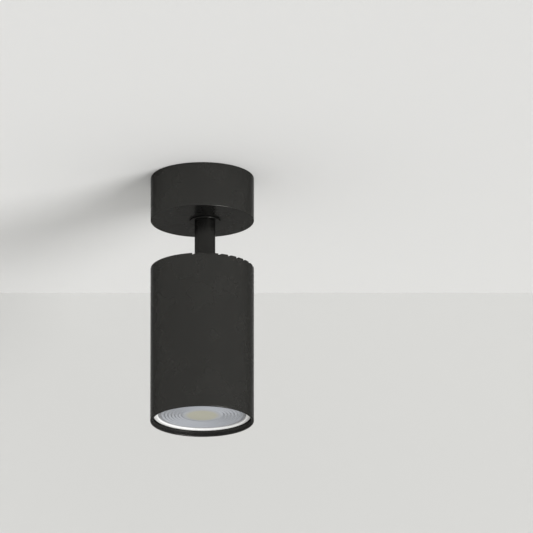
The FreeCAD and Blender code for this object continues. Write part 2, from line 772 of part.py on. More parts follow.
def kidney(label, radius, low, high, side):
    """A slot bent round the lamp's axis, from the locked place of a pin to the unlocked one."""
    start = 90 * side
    height = f"({high}) - ({low})"
    outside = cylinder(label + "_outside", f"pin_orbit + {radius}", height, z=low)
    inside = cylinder(label + "_inside", f"pin_orbit - ({radius})", f"({height}) * THROUGH",
                      z=f"({low}) - ({height})")
    sector = doc.addObject("Part::Cylinder", label + "_sector")
    sector.setExpression("Radius", tied("holder_width"))
    sector.setExpression("Height", tied(height))
    sector.setExpression("Angle", tied("lock_angle"))
    put(sector, 0, 0, low, FreeCAD.Rotation(start - SIZES["lock_angle"], 0, 0))
    ends = [
        cylinder(label + "_end", radius, height, f"pin_orbit * cos({start} - {turn})",
                 f"pin_orbit * sin({start} - {turn})", low)
        for turn in ("0", "lock_angle")
    ]
    band = cut(label + "_band", outside, [inside])
    return fuse(label, [common(label + "_arc", band, sector)] + ends)


def make_lampholder():
    half_length, half_width = "holder_length / 2", "holder_width / 2"
    blank = padded("holder_blank", [
        (f"-{half_length}", f"-{half_width}"),
        (half_length, f"-{half_width}"),
        (half_length, half_width),
        (f"-{half_length}", half_width),
    ], "XY_Plane", "strap_under - holder_face")
    rounded(blank, "holder_corner", lambda edge: abs(edge.tangentAt(edge.FirstParameter).z) > UPRIGHT)
    put(blank, 0, 0, "holder_face")
    below = "holder_face - holder_lip"
    window = "holder_wire_window / 2"
    half_contact = "contact_width / 2"
    tools = []
    contacts = []
    for side in (-1, 1):
        name = "key_left" if side < 0 else "key_right"
        entry = f"{90 * side} - lock_angle"
        y = f"{side} * pin_orbit"
        tools.append(kidney(name + "_lip", "neck_slot_radius", below,
                            "cavity_low + contact_thickness", side))
        across = f"{side} * pin_orbit * sin(lock_angle) / 2"
        half_across = "(pin_orbit * sin(lock_angle) / 2 + head_slot_radius)"
        tools.append(box(name + "_cavity",
                         (f"{across} - {half_across}", f"{y} - head_slot_radius", "cavity_low"),
                         (f"{across} + {half_across}", f"{y} + head_slot_radius", "cavity_top")))
        tools.append(cylinder(name + "_entry", "head_slot_radius", f"cavity_low - ({below})",
                              f"pin_orbit * cos({entry})", f"pin_orbit * sin({entry})", below))
        tools.append(box(name + "_wires", (f"-{window}", f"{y} - {window}", "cavity_low"),
                         (window, f"{y} + {window}", "strap_top")))
        contacts.append(box("contact",
                            (f"-{half_contact}", f"{y} - {half_contact}", "cavity_top - contact_thickness"),
                            (half_contact, f"{y} + {half_contact}", "cavity_top")))
    for x in HOLDER_SCREW_PLACES:
        tools.append(blind_hole("holder_screw_hole", "screw_diameter", "screw_grip", x, "strap_under"))
    cut("lampholder", blank, tools)
    group("holder_contacts", contacts)
    group("lampholder_screws", [
        fuse("holder_screw", [
            hexagon("holder_screw_head", "screw_head_flats", "holder_screw_head_height", x, 0,
                    "strap_top"),
            cylinder("holder_screw_shank", "screw_diameter / 2",
                     "strap_thickness + screw_grip - hole_gap", x, 0,
                     "strap_under - screw_grip + hole_gap"),
        ])
        for x in HOLDER_SCREW_PLACES
    ])


# The lamp: a many sided body that tapers to its neck, a front ring and lens, a light source on a
# round board in a pocket behind the lens, a driver in the body, and a base with two headed pins.

def tapered(label, sides, radius, end_radius, height):
    """A many sided bar whose radius shrinks from its lower end to its upper one."""
    step = 360 / sides
    corners = [(f"{radius} * cos({step * n})", f"{radius} * sin({step * n})") for n in range(sides)]
    body = padded(label, corners, "XY_Plane", height)
    doc.recompute()
    pad = body.Tip
    faces = [(f"Face{n}", face.normalAt(0, 0).z) for n, face in enumerate(pad.Shape.Faces, 1)]
    draft = body.newObject("PartDesign::Draft", label + "_draft")
    draft.Base = (pad, [name for name, up in faces if abs(up) < UPRIGHT])
    draft.NeutralPlane = (pad, [name for name, up in faces if up < -UPRIGHT])
    slope = f"atan(({radius} - {end_radius}) * cos(180 / {sides}) / ({height}))"
    draft.setExpression("Angle", tied(slope))
    return body


def make_lamp():
    taper = tapered("lamp_taper", LAMP_SIDES, "lamp_radius", "lamp_neck_radius", "lamp_cone_height")
    blanks = [
        put(taper, 0, 0, "ring_back + lamp_rim_height"),
        prism("lamp_rim", LAMP_SIDES, "lamp_radius", "lamp_rim_height", z="ring_back"),
        prism("lens_seat", LAMP_SIDES, "lens_radius - running_gap",
              "ring_back - lens_back + lamp_rim_height / 2", z="lens_back"),
    ]
    pocket = prism("board_pocket", LAMP_SIDES, "board_diameter / 2 + hole_gap",
                   "board_back - lens_back + lens_thickness", z="lens_back - lens_thickness")
    driver_low = "lamp_neck_low - driver_height"
    half_x = "(driver_width + hole_gap) / 2"
    half_y = "(driver_thickness + hole_gap) / 2"
    driver_space = box("driver_space", (f"-{half_x}", f"-{half_y}", f"{driver_low} - hole_gap"),
                       (half_x, half_y, "lamp_back"))
    cut("lamp_shell", fuse("lamp_casting", blanks), [pocket, driver_space])
    box("lamp_driver", ("-driver_width / 2", "-driver_thickness / 2", driver_low),
        ("driver_width / 2", "driver_thickness / 2", "lamp_neck_low"))
    ring("lamp_front_ring", "lamp_radius", "lens_radius", "lamp_front", "ring_back")
    cylinder("lamp_lens", "lens_radius - running_gap", "lens_thickness", z="lens_front")
    prism("lamp_led_board", LAMP_SIDES, "board_diameter / 2", "board_thickness", z="led_back")
    prism("lamp_led", LAMP_SIDES, "led_diameter / 2", "led_thickness", z="led_back - led_thickness")
    base = prism("base_blank", LAMP_SIDES, "lamp_base_diameter / 2", "lamp_back - lamp_neck_low",
                 z="lamp_neck_low")
    root = "lamp_back - pin_root"
    holes = []
    pins = []
    for side in (-1, 1):
        y = f"{side} * pin_orbit"
        holes.append(cylinder("pin_hole", "pin_diameter / 2", "pin_root * 2", 0, y, root))
        pins.append(fuse("pin", [
            cylinder("pin_neck", "pin_diameter / 2", "pin_root + pin_length", 0, y, root),
            cylinder("pin_head", "pin_head_diameter / 2", "pin_head_height", 0, y,
                     "pin_top - pin_head_height"),
        ]))
    cut("lamp_base", base, holes)
    group("lamp_pins", pins)


SUB_PARTS = [
    "canopy_cup", "mounting_plate", "canopy_grub_screws", "terminal_block", "terminal_clips",
    "earth_clamp", "earth_screw", "swivel_friction_washer",
    "stem_tube", "stop_washer", "lock_nut", "stem_wires",
    "head_body", "tilt_bracket", "tilt_friction_pads", "pivot_bolt", "pivot_nut",
    "holder_bracket", "bracket_screws", "lampholder", "holder_contacts", "lampholder_screws",
    "lamp_shell", "lamp_front_ring", "lamp_lens", "lamp_led_board", "lamp_led", "lamp_base",
    "lamp_pins", "lamp_driver",
]


def check_and_write():
    """Stops at the first object that failed, and writes each sub-part that is whole."""
    doc.recompute()
    for item in doc.Objects:
        if "Invalid" in item.State or "Error" in item.State:
            raise RuntimeError(f"{item.Label} failed: {item.State}")
    os.makedirs("parts", exist_ok=True)
    for label in SUB_PARTS:
        shape = doc.getObjectsByLabel(label)[0].Shape
        if shape.isNull() or not shape.isValid():
            raise RuntimeError(f"{label} has no valid shape")
        shape.exportStep(f"parts/{label}.step")
        print(f"{label}: {len(shape.Solids)} solid(s), {shape.Volume / 1000:.3f} cm3")


make_cup()
make_plate()
make_terminals()
make_swivel()
make_stem()
make_can()
make_hinge()
make_strap()
make_lampholder()
make_lamp()
check_and_write()
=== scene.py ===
# %% [markdown]
# # Dressing a ceiling spotlight
# The construction of this spotlight already exists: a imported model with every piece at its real
# size and place. This notebook loads it as a fixed frame and gives each piece its looks. It goes
# in the order in which a maker would lay the pieces out: the camera and the studio first, then
# the black cup, stem and can that people see, and last the steel, brass and ceramic inside.

# %% Load the frame
import json
import math

import bmesh
import bpy
from mathutils import Matrix, Vector

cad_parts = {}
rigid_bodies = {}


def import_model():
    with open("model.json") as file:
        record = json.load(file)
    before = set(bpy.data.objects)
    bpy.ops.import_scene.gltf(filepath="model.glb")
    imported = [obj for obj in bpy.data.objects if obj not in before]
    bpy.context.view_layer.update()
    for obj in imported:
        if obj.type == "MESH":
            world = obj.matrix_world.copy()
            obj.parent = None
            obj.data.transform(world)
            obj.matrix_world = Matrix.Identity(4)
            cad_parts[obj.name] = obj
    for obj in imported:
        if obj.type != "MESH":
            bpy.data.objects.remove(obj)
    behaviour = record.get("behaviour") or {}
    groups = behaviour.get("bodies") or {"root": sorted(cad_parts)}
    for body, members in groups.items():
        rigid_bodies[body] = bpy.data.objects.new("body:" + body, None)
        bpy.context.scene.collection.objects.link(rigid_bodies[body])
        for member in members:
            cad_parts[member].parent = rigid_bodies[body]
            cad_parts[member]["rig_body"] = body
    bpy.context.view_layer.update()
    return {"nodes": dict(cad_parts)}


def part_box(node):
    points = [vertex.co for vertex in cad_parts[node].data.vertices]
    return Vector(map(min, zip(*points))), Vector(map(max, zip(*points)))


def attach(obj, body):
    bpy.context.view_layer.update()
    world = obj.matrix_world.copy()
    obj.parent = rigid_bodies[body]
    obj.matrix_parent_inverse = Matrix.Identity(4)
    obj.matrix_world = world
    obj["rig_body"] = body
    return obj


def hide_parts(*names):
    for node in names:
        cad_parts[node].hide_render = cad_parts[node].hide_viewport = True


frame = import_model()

print("pieces in the frame:", len(frame["nodes"]))

# %% [markdown]
# ## Measuring the frame
# Lengths here are in metres. Nothing is typed in twice: a radius or a height comes from the box
# round a piece in the frame, so the looks follow if the construction changes. Only small things
# that a box can't tell, such as a wall or the rounding of an edge, get a number of their own.

# %% Measure the cup and the can
MM = 0.001


def corners(node):
    """The lowest and highest corner of a piece of the frame."""
    low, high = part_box(node)
    return low, high


cup_low, cup_high = corners("canopy_cup")
can_low, can_high = corners("head_body")
CUP_RADIUS = cup_high.x
CAN_RADIUS = can_high.x
print("cup radius", round(CUP_RADIUS / MM, 2), "mm, can radius", round(CAN_RADIUS / MM, 2), "mm")

# %% [markdown]
# ## The camera
# The spotlight is seen from below and from its left, through a very long lens: the edges of the
# can look parallel. So the lens is 1200 mm and the camera stands some nine metres away. The place
# comes from two angles and the point that the picture is centred on, with no turn by hand.

# %% Place the camera
CAMERA_AZIMUTH = math.radians(-43.4)
CAMERA_ELEVATION = math.radians(-18.1)
CAMERA_LENS = 1200.0
SENSOR = 36.0
PICTURE_WIDTH = 0.2729
AIM_HEIGHT = -47.65 * MM
AIM_ASIDE = 32.9 * MM

right = Vector((math.cos(CAMERA_AZIMUTH), math.sin(CAMERA_AZIMUTH), 0))
towards = Vector((math.sin(CAMERA_AZIMUTH), -math.cos(CAMERA_AZIMUTH), 0))
back = towards * math.cos(CAMERA_ELEVATION) + Vector((0, 0, math.sin(CAMERA_ELEVATION)))
aim = Vector((0, 0, AIM_HEIGHT)) + right * AIM_ASIDE
distance = PICTURE_WIDTH * CAMERA_LENS / SENSOR

camera_data = bpy.data.cameras.new("picture")
camera_data.lens = CAMERA_LENS
camera_data.sensor_width = SENSOR
camera_data.clip_start = 0.1
camera_data.clip_end = 100
camera = bpy.data.objects.new("picture", camera_data)
camera.location = aim + back * distance
camera.rotation_euler = back.to_track_quat("Z", "Y").to_euler()
bpy.context.scene.collection.objects.link(camera)
bpy.context.scene.camera = camera
print("camera", round(distance, 2), "m away")

# %% [markdown]
# ## Nodes from code
# Paints, finishes and the light of the world are all built from shader nodes. Three helpers keep
# that short. Each takes a number, a colour or the output of another node for a value, so a
# formula in nodes reads nearly as it would on paper.

# %% Help to build nodes


def add(tree, kind, values=None, **properties):
    """A new shader node, with its properties, and with values for its sockets."""
    made = tree.nodes.new("ShaderNode" + kind)
    for label, setting in properties.items():
        setattr(made, label, setting)
    for socket, value in (values or {}).items():
        if isinstance(value, bpy.types.NodeSocket):
            tree.links.new(value, made.inputs[socket])
        else:
            made.inputs[socket].default_value = value
    return made


def calculate(tree, operation, *values):
    """The output of a math node."""
    return add(tree, "Math", dict(enumerate(values)), operation=operation).outputs[0]


def spread(tree, source, low, high, start=0.35, end=0.65):
    """Maps a value to a range; most of a noise lies between the default start and end."""
    remap = add(tree, "MapRange", {"Value": source, "From Min": start, "From Max": end,
                                   "To Min": low, "To Max": high})
    return remap.outputs["Result"]


# %% [markdown]
# ## The studio
# A plain pale ceiling and a wall behind stand in for a room. Each is one face with a material
# that shows only from its front, so the spotlight can also be looked at from above or from
# behind. `Backfacing` tells the two sides apart, and a mix of shaders acts on it.

# %% Paint from one side


def one_sided(name, colour):
    """A plain rough paint that is clear from behind."""
    paint = bpy.data.materials.new(name)
    paint.use_nodes = True
    tree = paint.node_tree
    front = tree.nodes["Principled BSDF"]
    for label, value in {"Base Color": (*colour, 1), "Roughness": 0.9,
                         "Specular IOR Level": 0.1}.items():
        front.inputs[label].default_value = value
    choice = add(tree, "MixShader", {
        "Fac": add(tree, "NewGeometry").outputs["Backfacing"], 1: front.outputs["BSDF"],
        2: add(tree, "BsdfTransparent").outputs["BSDF"]})
    tree.links.new(choice.outputs["Shader"], tree.nodes["Material Output"].inputs["Surface"])
    return paint


# %% [markdown]
# A backdrop is a grid of a single face, scaled and turned to look one way.

# %% Help to build backdrops


def as_object(bm, name):
    """A bmesh as an object of the scene."""
    mesh = bpy.data.meshes.new(name)
    bm.to_mesh(mesh)
    bm.free()
    item = bpy.data.objects.new(name, mesh)
    bpy.context.scene.collection.objects.link(item)
    return item


def backdrop(name, centre, facing, width, height, colour):
    """A flat backdrop that faces one way."""
    bm = bmesh.new()
    bmesh.ops.create_grid(bm, x_segments=1, y_segments=1, size=0.5)
    bmesh.ops.scale(bm, verts=bm.verts, vec=(width, height, 1))
    turn = facing.to_track_quat("Z", "Y").to_matrix()
    bmesh.ops.rotate(bm, verts=bm.verts, cent=(0, 0, 0), matrix=turn)
    bmesh.ops.translate(bm, verts=bm.verts, vec=centre)
    sheet = as_object(bm, name)
    sheet.data.materials.append(one_sided(name + "_paint", colour))


# %% [markdown]
# The colours are the greys that the picture should show, and the lamps stay at a level where a
# colour renders about as it is written. There is no floor, so light also comes from below. The
# ceiling's face lies a hair below the back of the cup, because two faces in one place flicker.

# %% Hang the ceiling and the wall
CEILING_GREY = (0.735, 0.733, 0.725)
WALL_GREY = (0.62, 0.619, 0.607)
WALL_DISTANCE = 190 * MM
WALL_HEIGHT = 1.6
STUDIO_SIZE = 3.0
CEILING_DROP = 0.05 * MM

down = Vector((0, 0, -1))
backdrop("studio_ceiling", down * CEILING_DROP, down, STUDIO_SIZE, STUDIO_SIZE, CEILING_GREY)
backdrop("studio_wall", towards * -WALL_DISTANCE + down * WALL_HEIGHT / 2, towards,
         STUDIO_SIZE, WALL_HEIGHT, WALL_GREY)
print("backdrops:", WALL_HEIGHT, "m high,", STUDIO_SIZE, "m wide")

# %% [markdown]
# ## The light
# The light comes from the right, from in front and from below, so the cup throws a soft shadow
# to the left along the ceiling. A sun lamp lights the whole room evenly, and a wide angle makes
# its shadows as soft as those of a large studio lamp.

# %% Set the key light
KEY_TURN = math.radians(46)
KEY_DROP = math.radians(30)
KEY_ANGLE = math.radians(30)
KEY_STRENGTH = 2.2

key_flat = right * math.cos(KEY_TURN) + towards * math.sin(KEY_TURN)
key_way = key_flat * math.cos(KEY_DROP) + down * math.sin(KEY_DROP)
key_light = bpy.data.lights.new("key_light", "SUN")
key_light.angle = KEY_ANGLE
key_light.energy = KEY_STRENGTH
key_lamp = bpy.data.objects.new("key_light", key_light)
key_lamp.location = key_way
key_lamp.rotation_euler = key_way.to_track_quat("Z", "Y").to_euler()
bpy.context.scene.collection.objects.link(key_lamp)
print("key light", KEY_STRENGTH, "W/m2 over", round(math.degrees(KEY_ANGLE)), "degrees")

# %% [markdown]
# The world gives the rest of the light from all round. To the camera, and in mirrors and glass,
# it shows a pale grey of its own, so the background stays as pale as it should be at any level.

# %% Set the world
WORLD_LEVEL = 0.72
WORLD_SEEN = 0.8
WORLD_COLOUR = (0.92, 0.92, 0.91, 1)

world = bpy.data.worlds.new("studio_world")
bpy.context.scene.world = world
world.use_nodes = True
sky = world.node_tree
rays = add(sky, "LightPath").outputs
seen = calculate(sky, "MAXIMUM", rays["Is Camera Ray"], rays["Is Glossy Ray"])
seen = calculate(sky, "MAXIMUM", seen, rays["Is Transmission Ray"])
background = sky.nodes["Background"]
background.inputs["Color"].default_value = WORLD_COLOUR
sky.links.new(spread(sky, seen, WORLD_LEVEL, WORLD_SEEN, 0, 1), background.inputs["Strength"])
bpy.context.scene.view_settings.view_transform = "Standard"
print("world", WORLD_LEVEL, "on the pieces and", WORLD_SEEN, "to the camera")

# %% [markdown]
# ## Turned pieces
# Most of a spotlight is turned on a lathe, so most of its pieces start as an outline of radii and
# heights that is spun once round. The first and last ring of a full spin lie on each other, and
# `use_merge` joins them. The normals are worked out again afterwards, because a spin can leave
# them inside out.

# %% Spin an outline
FINE = 160
MEDIUM = 96
SMALL = 48


def lathe(outline, steps, x=0.0, y=0.0, closed=True):
    """Spins an outline of (radius, height) about a vertical axis."""
    bm = bmesh.new()
    chain = [bm.verts.new((x + radius, y, height)) for radius, height in outline]
    pairs = list(zip(chain, chain[1:]))
    if closed:
        pairs.append((chain[-1], chain[0]))
    edges = [bm.edges.new(pair) for pair in pairs]
    bmesh.ops.spin(bm, geom=chain + edges, cent=(x, y, 0), axis=(0, 0, 1), angle=math.tau,
                   steps=steps, use_merge=True, use_duplicate=False)
    bmesh.ops.remove_doubles(bm, verts=bm.verts, dist=1e-7)
    bmesh.ops.recalc_face_normals(bm, faces=bm.faces)
    return bm


def ring_outline(outer, inner, low, high):
    """The section of a plain ring."""
    return [(inner, low), (outer, low), (outer, high), (inner, high)]


trial = lathe(ring_outline(2, 1, 0, 1), FINE)
print("a ring of", FINE, "steps has", len(trial.faces), "faces")
trial.free()

# %% [markdown]
# ## Easing edges
# No real edge is perfectly sharp, and the thin line of light along an eased edge is what makes
# metal look like metal. `ease` bevels every edge where two faces meet at a clear angle, or only
# those that a test picks. A bevel needs its segments, profile and material said, because the
# operator's own defaults are not the ones of the editor.

# %% Bevel the sharp edges
SHARP = math.radians(35)


def is_sharp(edge, angle=SHARP):
    """Do two faces meet here at more than this angle?"""
    return len(edge.link_faces) == 2 and edge.calc_face_angle(0) > angle


def ease(bm, width, segments=2, wanted=is_sharp):
    """Rounds the edges that a test picks."""
    edges = [edge for edge in bm.edges if wanted(edge)]
    bmesh.ops.bevel(bm, geom=edges, offset=width, offset_type="OFFSET", segments=segments,
                    profile=0.5, affect="EDGES", clamp_overlap=True, material=-1)
    return bm


def runs_along(edge, axis):
    """Is the edge sharp and parallel to this axis, 0 to 2?"""
    way = edge.verts[1].co - edge.verts[0].co
    return is_sharp(edge) and abs(way[axis]) > 0.99 * way.length


def upright(edge):
    """Is it a sharp vertical edge?"""
    return runs_along(edge, 2)


# %% [markdown]
# ## Blocks, rods and flat sheets
# The pieces that aren't turned are blocks, round or hexagonal bars, or flat shapes cut from
# sheet. Each starts as one of the basic shapes of bmesh, or as a single face that is extruded.
# Helpers for them are worth their lines, because such shapes are also what every hole is cut with.

# %% Make blocks, rods and sheets
SIDES = (-1, 1)
X_AXIS, Z_AXIS = Vector((1, 0, 0)), Vector((0, 0, 1))


def block(corner, opposite):
    """A block between two opposite corners."""
    low = Vector([min(pair) for pair in zip(corner, opposite)])
    high = Vector([max(pair) for pair in zip(corner, opposite)])
    bm = bmesh.new()
    bmesh.ops.create_cube(bm, size=1)
    bmesh.ops.scale(bm, verts=bm.verts, vec=high - low)
    bmesh.ops.translate(bm, verts=bm.verts, vec=(low + high) / 2)
    return bm


def post(x, y, half_x, half_y, low, high):
    """An upright block round a point, between two heights."""
    return block((x - half_x, y - half_y, low), (x + half_x, y + half_y, high))


def rod(radius, start, end, steps=SMALL, turn=0.0):
    """A bar of round or many sided section from one point to another."""
    start, end = Vector(start), Vector(end)
    way = end - start
    bm = bmesh.new()
    bmesh.ops.create_cone(bm, cap_ends=True, segments=steps, radius1=radius, radius2=radius,
                          depth=way.length)
    for matrix in (Matrix.Rotation(turn, 3, "Z"), way.to_track_quat("Z", "Y").to_matrix()):
        bmesh.ops.rotate(bm, verts=bm.verts, cent=(0, 0, 0), matrix=matrix)
    bmesh.ops.translate(bm, verts=bm.verts, vec=(start + end) / 2)
    return bm


def sheet_cut(points, thickness):
    """A flat shape through points in space, with this thickness as a vector."""
    bm = bmesh.new()
    face = bm.faces.new([bm.verts.new(point) for point in points])
    grown = bmesh.ops.extrude_face_region(bm, geom=[face])["geom"]
    moved = [item for item in grown if isinstance(item, bmesh.types.BMVert)]
    bmesh.ops.translate(bm, verts=moved, vec=thickness)
    bmesh.ops.recalc_face_normals(bm, faces=bm.faces)
    return bm


# %% [markdown]
# ## Joining and carving
# Holes, slots and grooves are cut with boolean modifiers on a temporary object, and the result is
# read back as a mesh. The exact solver copes with walls that lie in one plane, which the fast one
# doesn't. Cutters reach a little past the wall that they go through, or a thin skin would stay.

# %% Join meshes, and cut one with others


def together(meshes):
    """One bmesh with the shells of several."""
    joined = bmesh.new()
    for bm in meshes:
        carrier = bpy.data.meshes.new("carrier")
        bm.to_mesh(carrier)
        bm.free()
        joined.from_mesh(carrier)
        bpy.data.meshes.remove(carrier)
    return joined


def carve(bm, cutters, operation="DIFFERENCE"):
    """Takes each cutter out of the body, or with UNION welds it on."""
    body = as_object(bm, "temporary")
    tools = [as_object(cutter, "temporary") for cutter in cutters]
    for tool in tools:
        step = body.modifiers.new("carve", "BOOLEAN")
        step.operation = operation
        step.solver = "EXACT"
        step.object = tool
    bpy.context.view_layer.update()
    depsgraph = bpy.context.evaluated_depsgraph_get()
    result = bpy.data.meshes.new_from_object(body.evaluated_get(depsgraph))
    carved = bmesh.new()
    carved.from_mesh(result)
    bpy.data.meshes.remove(result)
    for item in [body] + tools:
        mesh = item.data
        bpy.data.objects.remove(item)
        bpy.data.meshes.remove(mesh)
    bmesh.ops.remove_doubles(carved, verts=carved.verts, dist=1e-7)
    bmesh.ops.dissolve_degenerate(carved, edges=carved.edges, dist=1e-7)
    return carved


def weld(meshes):
    """Several overlapping bodies as one skin."""
    return carve(meshes[0], meshes[1:], "UNION")


# %% [markdown]
# ## Finishing a piece
# Every piece goes through the same last step. Its faces are shaded smooth, except across edges
# that are still sharp, it moves with its body of the frame, and it stands for the plain solid
# that it replaces. A weighted normal modifier keeps flat faces flat beside their eased edges.

# %% Turn a bmesh into a finished piece


def piece(name, bm, materials, node):
    """A finished piece that stands for a node of the frame."""
    for face in bm.faces:
        face.smooth = True
    for edge in bm.edges:
        edge.smooth = not is_sharp(edge)
    item = as_object(bm, name + "_shape")
    for material in materials if isinstance(materials, list) else [materials]:
        item.data.materials.append(material)
    shading = item.modifiers.new("even_shading", "WEIGHTED_NORMAL")
    shading.keep_sharp = True
    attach(item, frame["nodes"][node]["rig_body"])
    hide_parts(node)
    size = [round(side / MM, 1) for side in item.dimensions]
    print(f"{name}: {len(item.data.polygons)} faces, {size} mm")


# %% [markdown]
# ## Grain that several finishes share
# Powder coat, plating, moulded plastic and glaze all have a fine surface that a flat colour
# lacks. A node group is built once for each kind of surface and placed in each material with its
# own values. A group puts out values only: the shader stays in the material itself.

# %% Help to build node groups


def group_tree(name, inputs):
    """An empty group with number inputs, and the outputs of its input node."""
    tree = bpy.data.node_groups.new(name, "ShaderNodeTree")
    for label, value in inputs.items():
        socket = tree.interface.new_socket(label, in_out="INPUT", socket_type="NodeSocketFloat")
        socket.default_value = value
    for label in ("Height", "Tone", "Gloss"):
        tree.interface.new_socket(label, in_out="OUTPUT", socket_type="NodeSocketFloat")
    return tree, tree.nodes.new("NodeGroupInput").outputs


def put_out(tree, height, tone, gloss):
    """Links the three values that every finish reads."""
    out = tree.nodes.new("NodeGroupOutput")
    for label, value in (("Height", height), ("Tone", tone), ("Gloss", gloss)):
        tree.links.new(value, out.inputs[label])
    print("group", tree.name, "with", len(tree.nodes), "nodes")


def noise(tree, size, detail, stretch=None):
    """A noise on object coordinates, in patches of this size; stretch scales it by axis."""
    place = add(tree, "TexCoord").outputs["Object"]
    if stretch is not None:
        place = add(tree, "Mapping", {"Vector": place, "Scale": stretch}).outputs["Vector"]
    pattern = add(tree, "TexNoise", {"Vector": place, "Scale": 1 / size, "Detail": detail})
    return pattern.outputs[0]


# %% [markdown]
# ### Powder coat
# Powder is sprayed on dry and melts to a skin with a fine orange peel, a few tenths of a
# millimetre across, with still finer grit on it. A scanned picture of it would do, but noise has
# no seams and no end of detail. Two noises at these scales give the height. A slow third one
# varies the tone and the gloss over centimetres, as on a real batch.

# %% Build the powder coat group
PEEL_SIZE = 0.55 * MM
GRIT_SIZE = 0.16 * MM
CLOUD_SIZE = 14 * MM

tree, given = group_tree("powder_skin", {"Peel": 0.7, "Grit": 0.3})
peel = noise(tree, PEEL_SIZE, 2.0)
grit = noise(tree, GRIT_SIZE, 1.0)
slow_tone = spread(tree, noise(tree, CLOUD_SIZE, 3.0), -0.5, 0.5)
height = calculate(tree, "ADD", calculate(tree, "MULTIPLY", peel, given["Peel"]),
                   calculate(tree, "MULTIPLY", grit, given["Grit"]))
tone = calculate(tree, "ADD", spread(tree, grit, -0.5, 0.5), slow_tone)
put_out(tree, height, tone, slow_tone)
powder_tree = tree

# %% [markdown]
# ### Plated sheet steel
# Zinc plating is bright but never even: cloudy patches a few millimetres across, and the fine
# straight lines that rolling left in the sheet under it. The lines are a noise stretched a
# hundredfold along one axis.

# %% Build the plated metal group
PATCH_SIZE = 5 * MM
LINE_SIZE = 0.12 * MM

tree, given = group_tree("plated_skin", {"Lines": 0.5, "Patches": 0.5})
lines = noise(tree, LINE_SIZE, 2.0, stretch=(1.0, 0.012, 1.0))
patches = noise(tree, PATCH_SIZE, 4.0)
line_part = calculate(tree, "MULTIPLY", spread(tree, lines, -0.5, 0.5), given["Lines"])
patch_part = calculate(tree, "MULTIPLY", spread(tree, patches, -0.5, 0.5), given["Patches"])
put_out(tree, lines, calculate(tree, "ADD", line_part, patch_part), patch_part)
plated_tree = tree

# %% [markdown]
# ### Moulded plastic and glaze
# A moulded or glazed surface is smooth, with a faint waviness over millimetres and tiny specks.
# The same group serves both, with more specks in the ceramic and more waves in the glaze.

# %% Build the moulded group
WAVE_SIZE = 3.5 * MM
SPECK_SIZE = 0.35 * MM

tree, given = group_tree("moulded_skin", {"Waves": 0.6, "Specks": 0.4})
waves = spread(tree, noise(tree, WAVE_SIZE, 2.0), -0.5, 0.5)
specks = spread(tree, noise(tree, SPECK_SIZE, 2.0), -0.5, 0.5, 0.25, 0.75)
wave_part = calculate(tree, "MULTIPLY", waves, given["Waves"])
speck_part = calculate(tree, "MULTIPLY", specks, given["Specks"])
put_out(tree, calculate(tree, "ADD", wave_part, speck_part), speck_part, wave_part)
moulded_tree = tree

# %% [markdown]
# ### One recipe for a finish
# Each finish is a base colour, a roughness and one of the groups above. The group's tone moves
# the colour a little lighter and darker, its gloss moves the roughness, and its height drives a
# bump. What is the same all over is set on the shader itself.

# %% Mix a finish


def finish(name, group, colour, roughness, tone=0.15, gloss=0.08, depth=0.02, settings=None,
           group_values=None, colour_source=None):
    """A material whose colour, roughness and bump follow a group. Depth is in millimetres."""
    material = bpy.data.materials.new(name)
    material.use_nodes = True
    tree = material.node_tree
    shader = tree.nodes["Principled BSDF"].inputs
    skin = add(tree, "Group", node_tree=group)
    for label, value in (group_values or {}).items():
        skin.inputs[label].default_value = value
    skin = skin.outputs
    base = colour_source(tree) if colour_source else colour
    strength = calculate(tree, "MULTIPLY_ADD", skin["Tone"], tone, 1.0)
    tinted = add(tree, "VectorMath", {0: base, "Scale": strength}, operation="SCALE")
    rough = calculate(tree, "MULTIPLY_ADD", skin["Gloss"], gloss, roughness)
    rough.node.use_clamp = True
    bump = add(tree, "Bump", {"Strength": 1.0, "Distance": depth * MM, "Height": skin["Height"]})
    tree.links.new(tinted.outputs["Vector"], shader["Base Color"])
    tree.links.new(rough, shader["Roughness"])
    tree.links.new(bump.outputs["Normal"], shader["Normal"])
    for label, value in (settings or {}).items():
        shader[label].default_value = value
    return material


# %% [markdown]
# The black coat needs care. On this spotlight it mirrors about as much at flat angles as face on,
# where common paint would glare. A high `Metallic` with a very dark colour gives that even sheen,
# and a dark `Specular Tint` holds back the edge. On the steel stem the colour is darker still,
# which is painted shade for the shade that the cup casts on the stem.

# %% Mix the black coats
SATIN = {"Metallic": 0.82, "Specular IOR Level": 0.2, "Specular Tint": (0.38, 0.38, 0.38, 1)}
black_coat = finish("black_powder_coat", powder_tree, (0.043, 0.0425, 0.0400), 0.27,
                    tone=0.06, gloss=0.03, depth=0.010, settings=SATIN)
# The stem's darker colour is painted shade from the cup above it.
stem_coat_shaded = finish("black_coat_painted_shade_on_steel", powder_tree, (0.032, 0.0315, 0.0297), 0.25,
                   tone=0.06, gloss=0.03, depth=0.006, settings=SATIN)
print("coats:", black_coat.name, stem_coat_shaded.name)

# %% [markdown]
# The steel, brass and copper parts share the plated group. They differ in colour and in how much
# the lines and patches show: pressed sheet has the most, and small turned screws the least.

# %% Mix the metals
METAL = {"Metallic": 1.0}


def metal(name, colour, roughness, tone=0.2, gloss=0.1, depth=0.004, settings=METAL):
    """A finish on the plated group."""
    return finish(name, plated_tree, colour, roughness, tone, gloss, depth, settings)


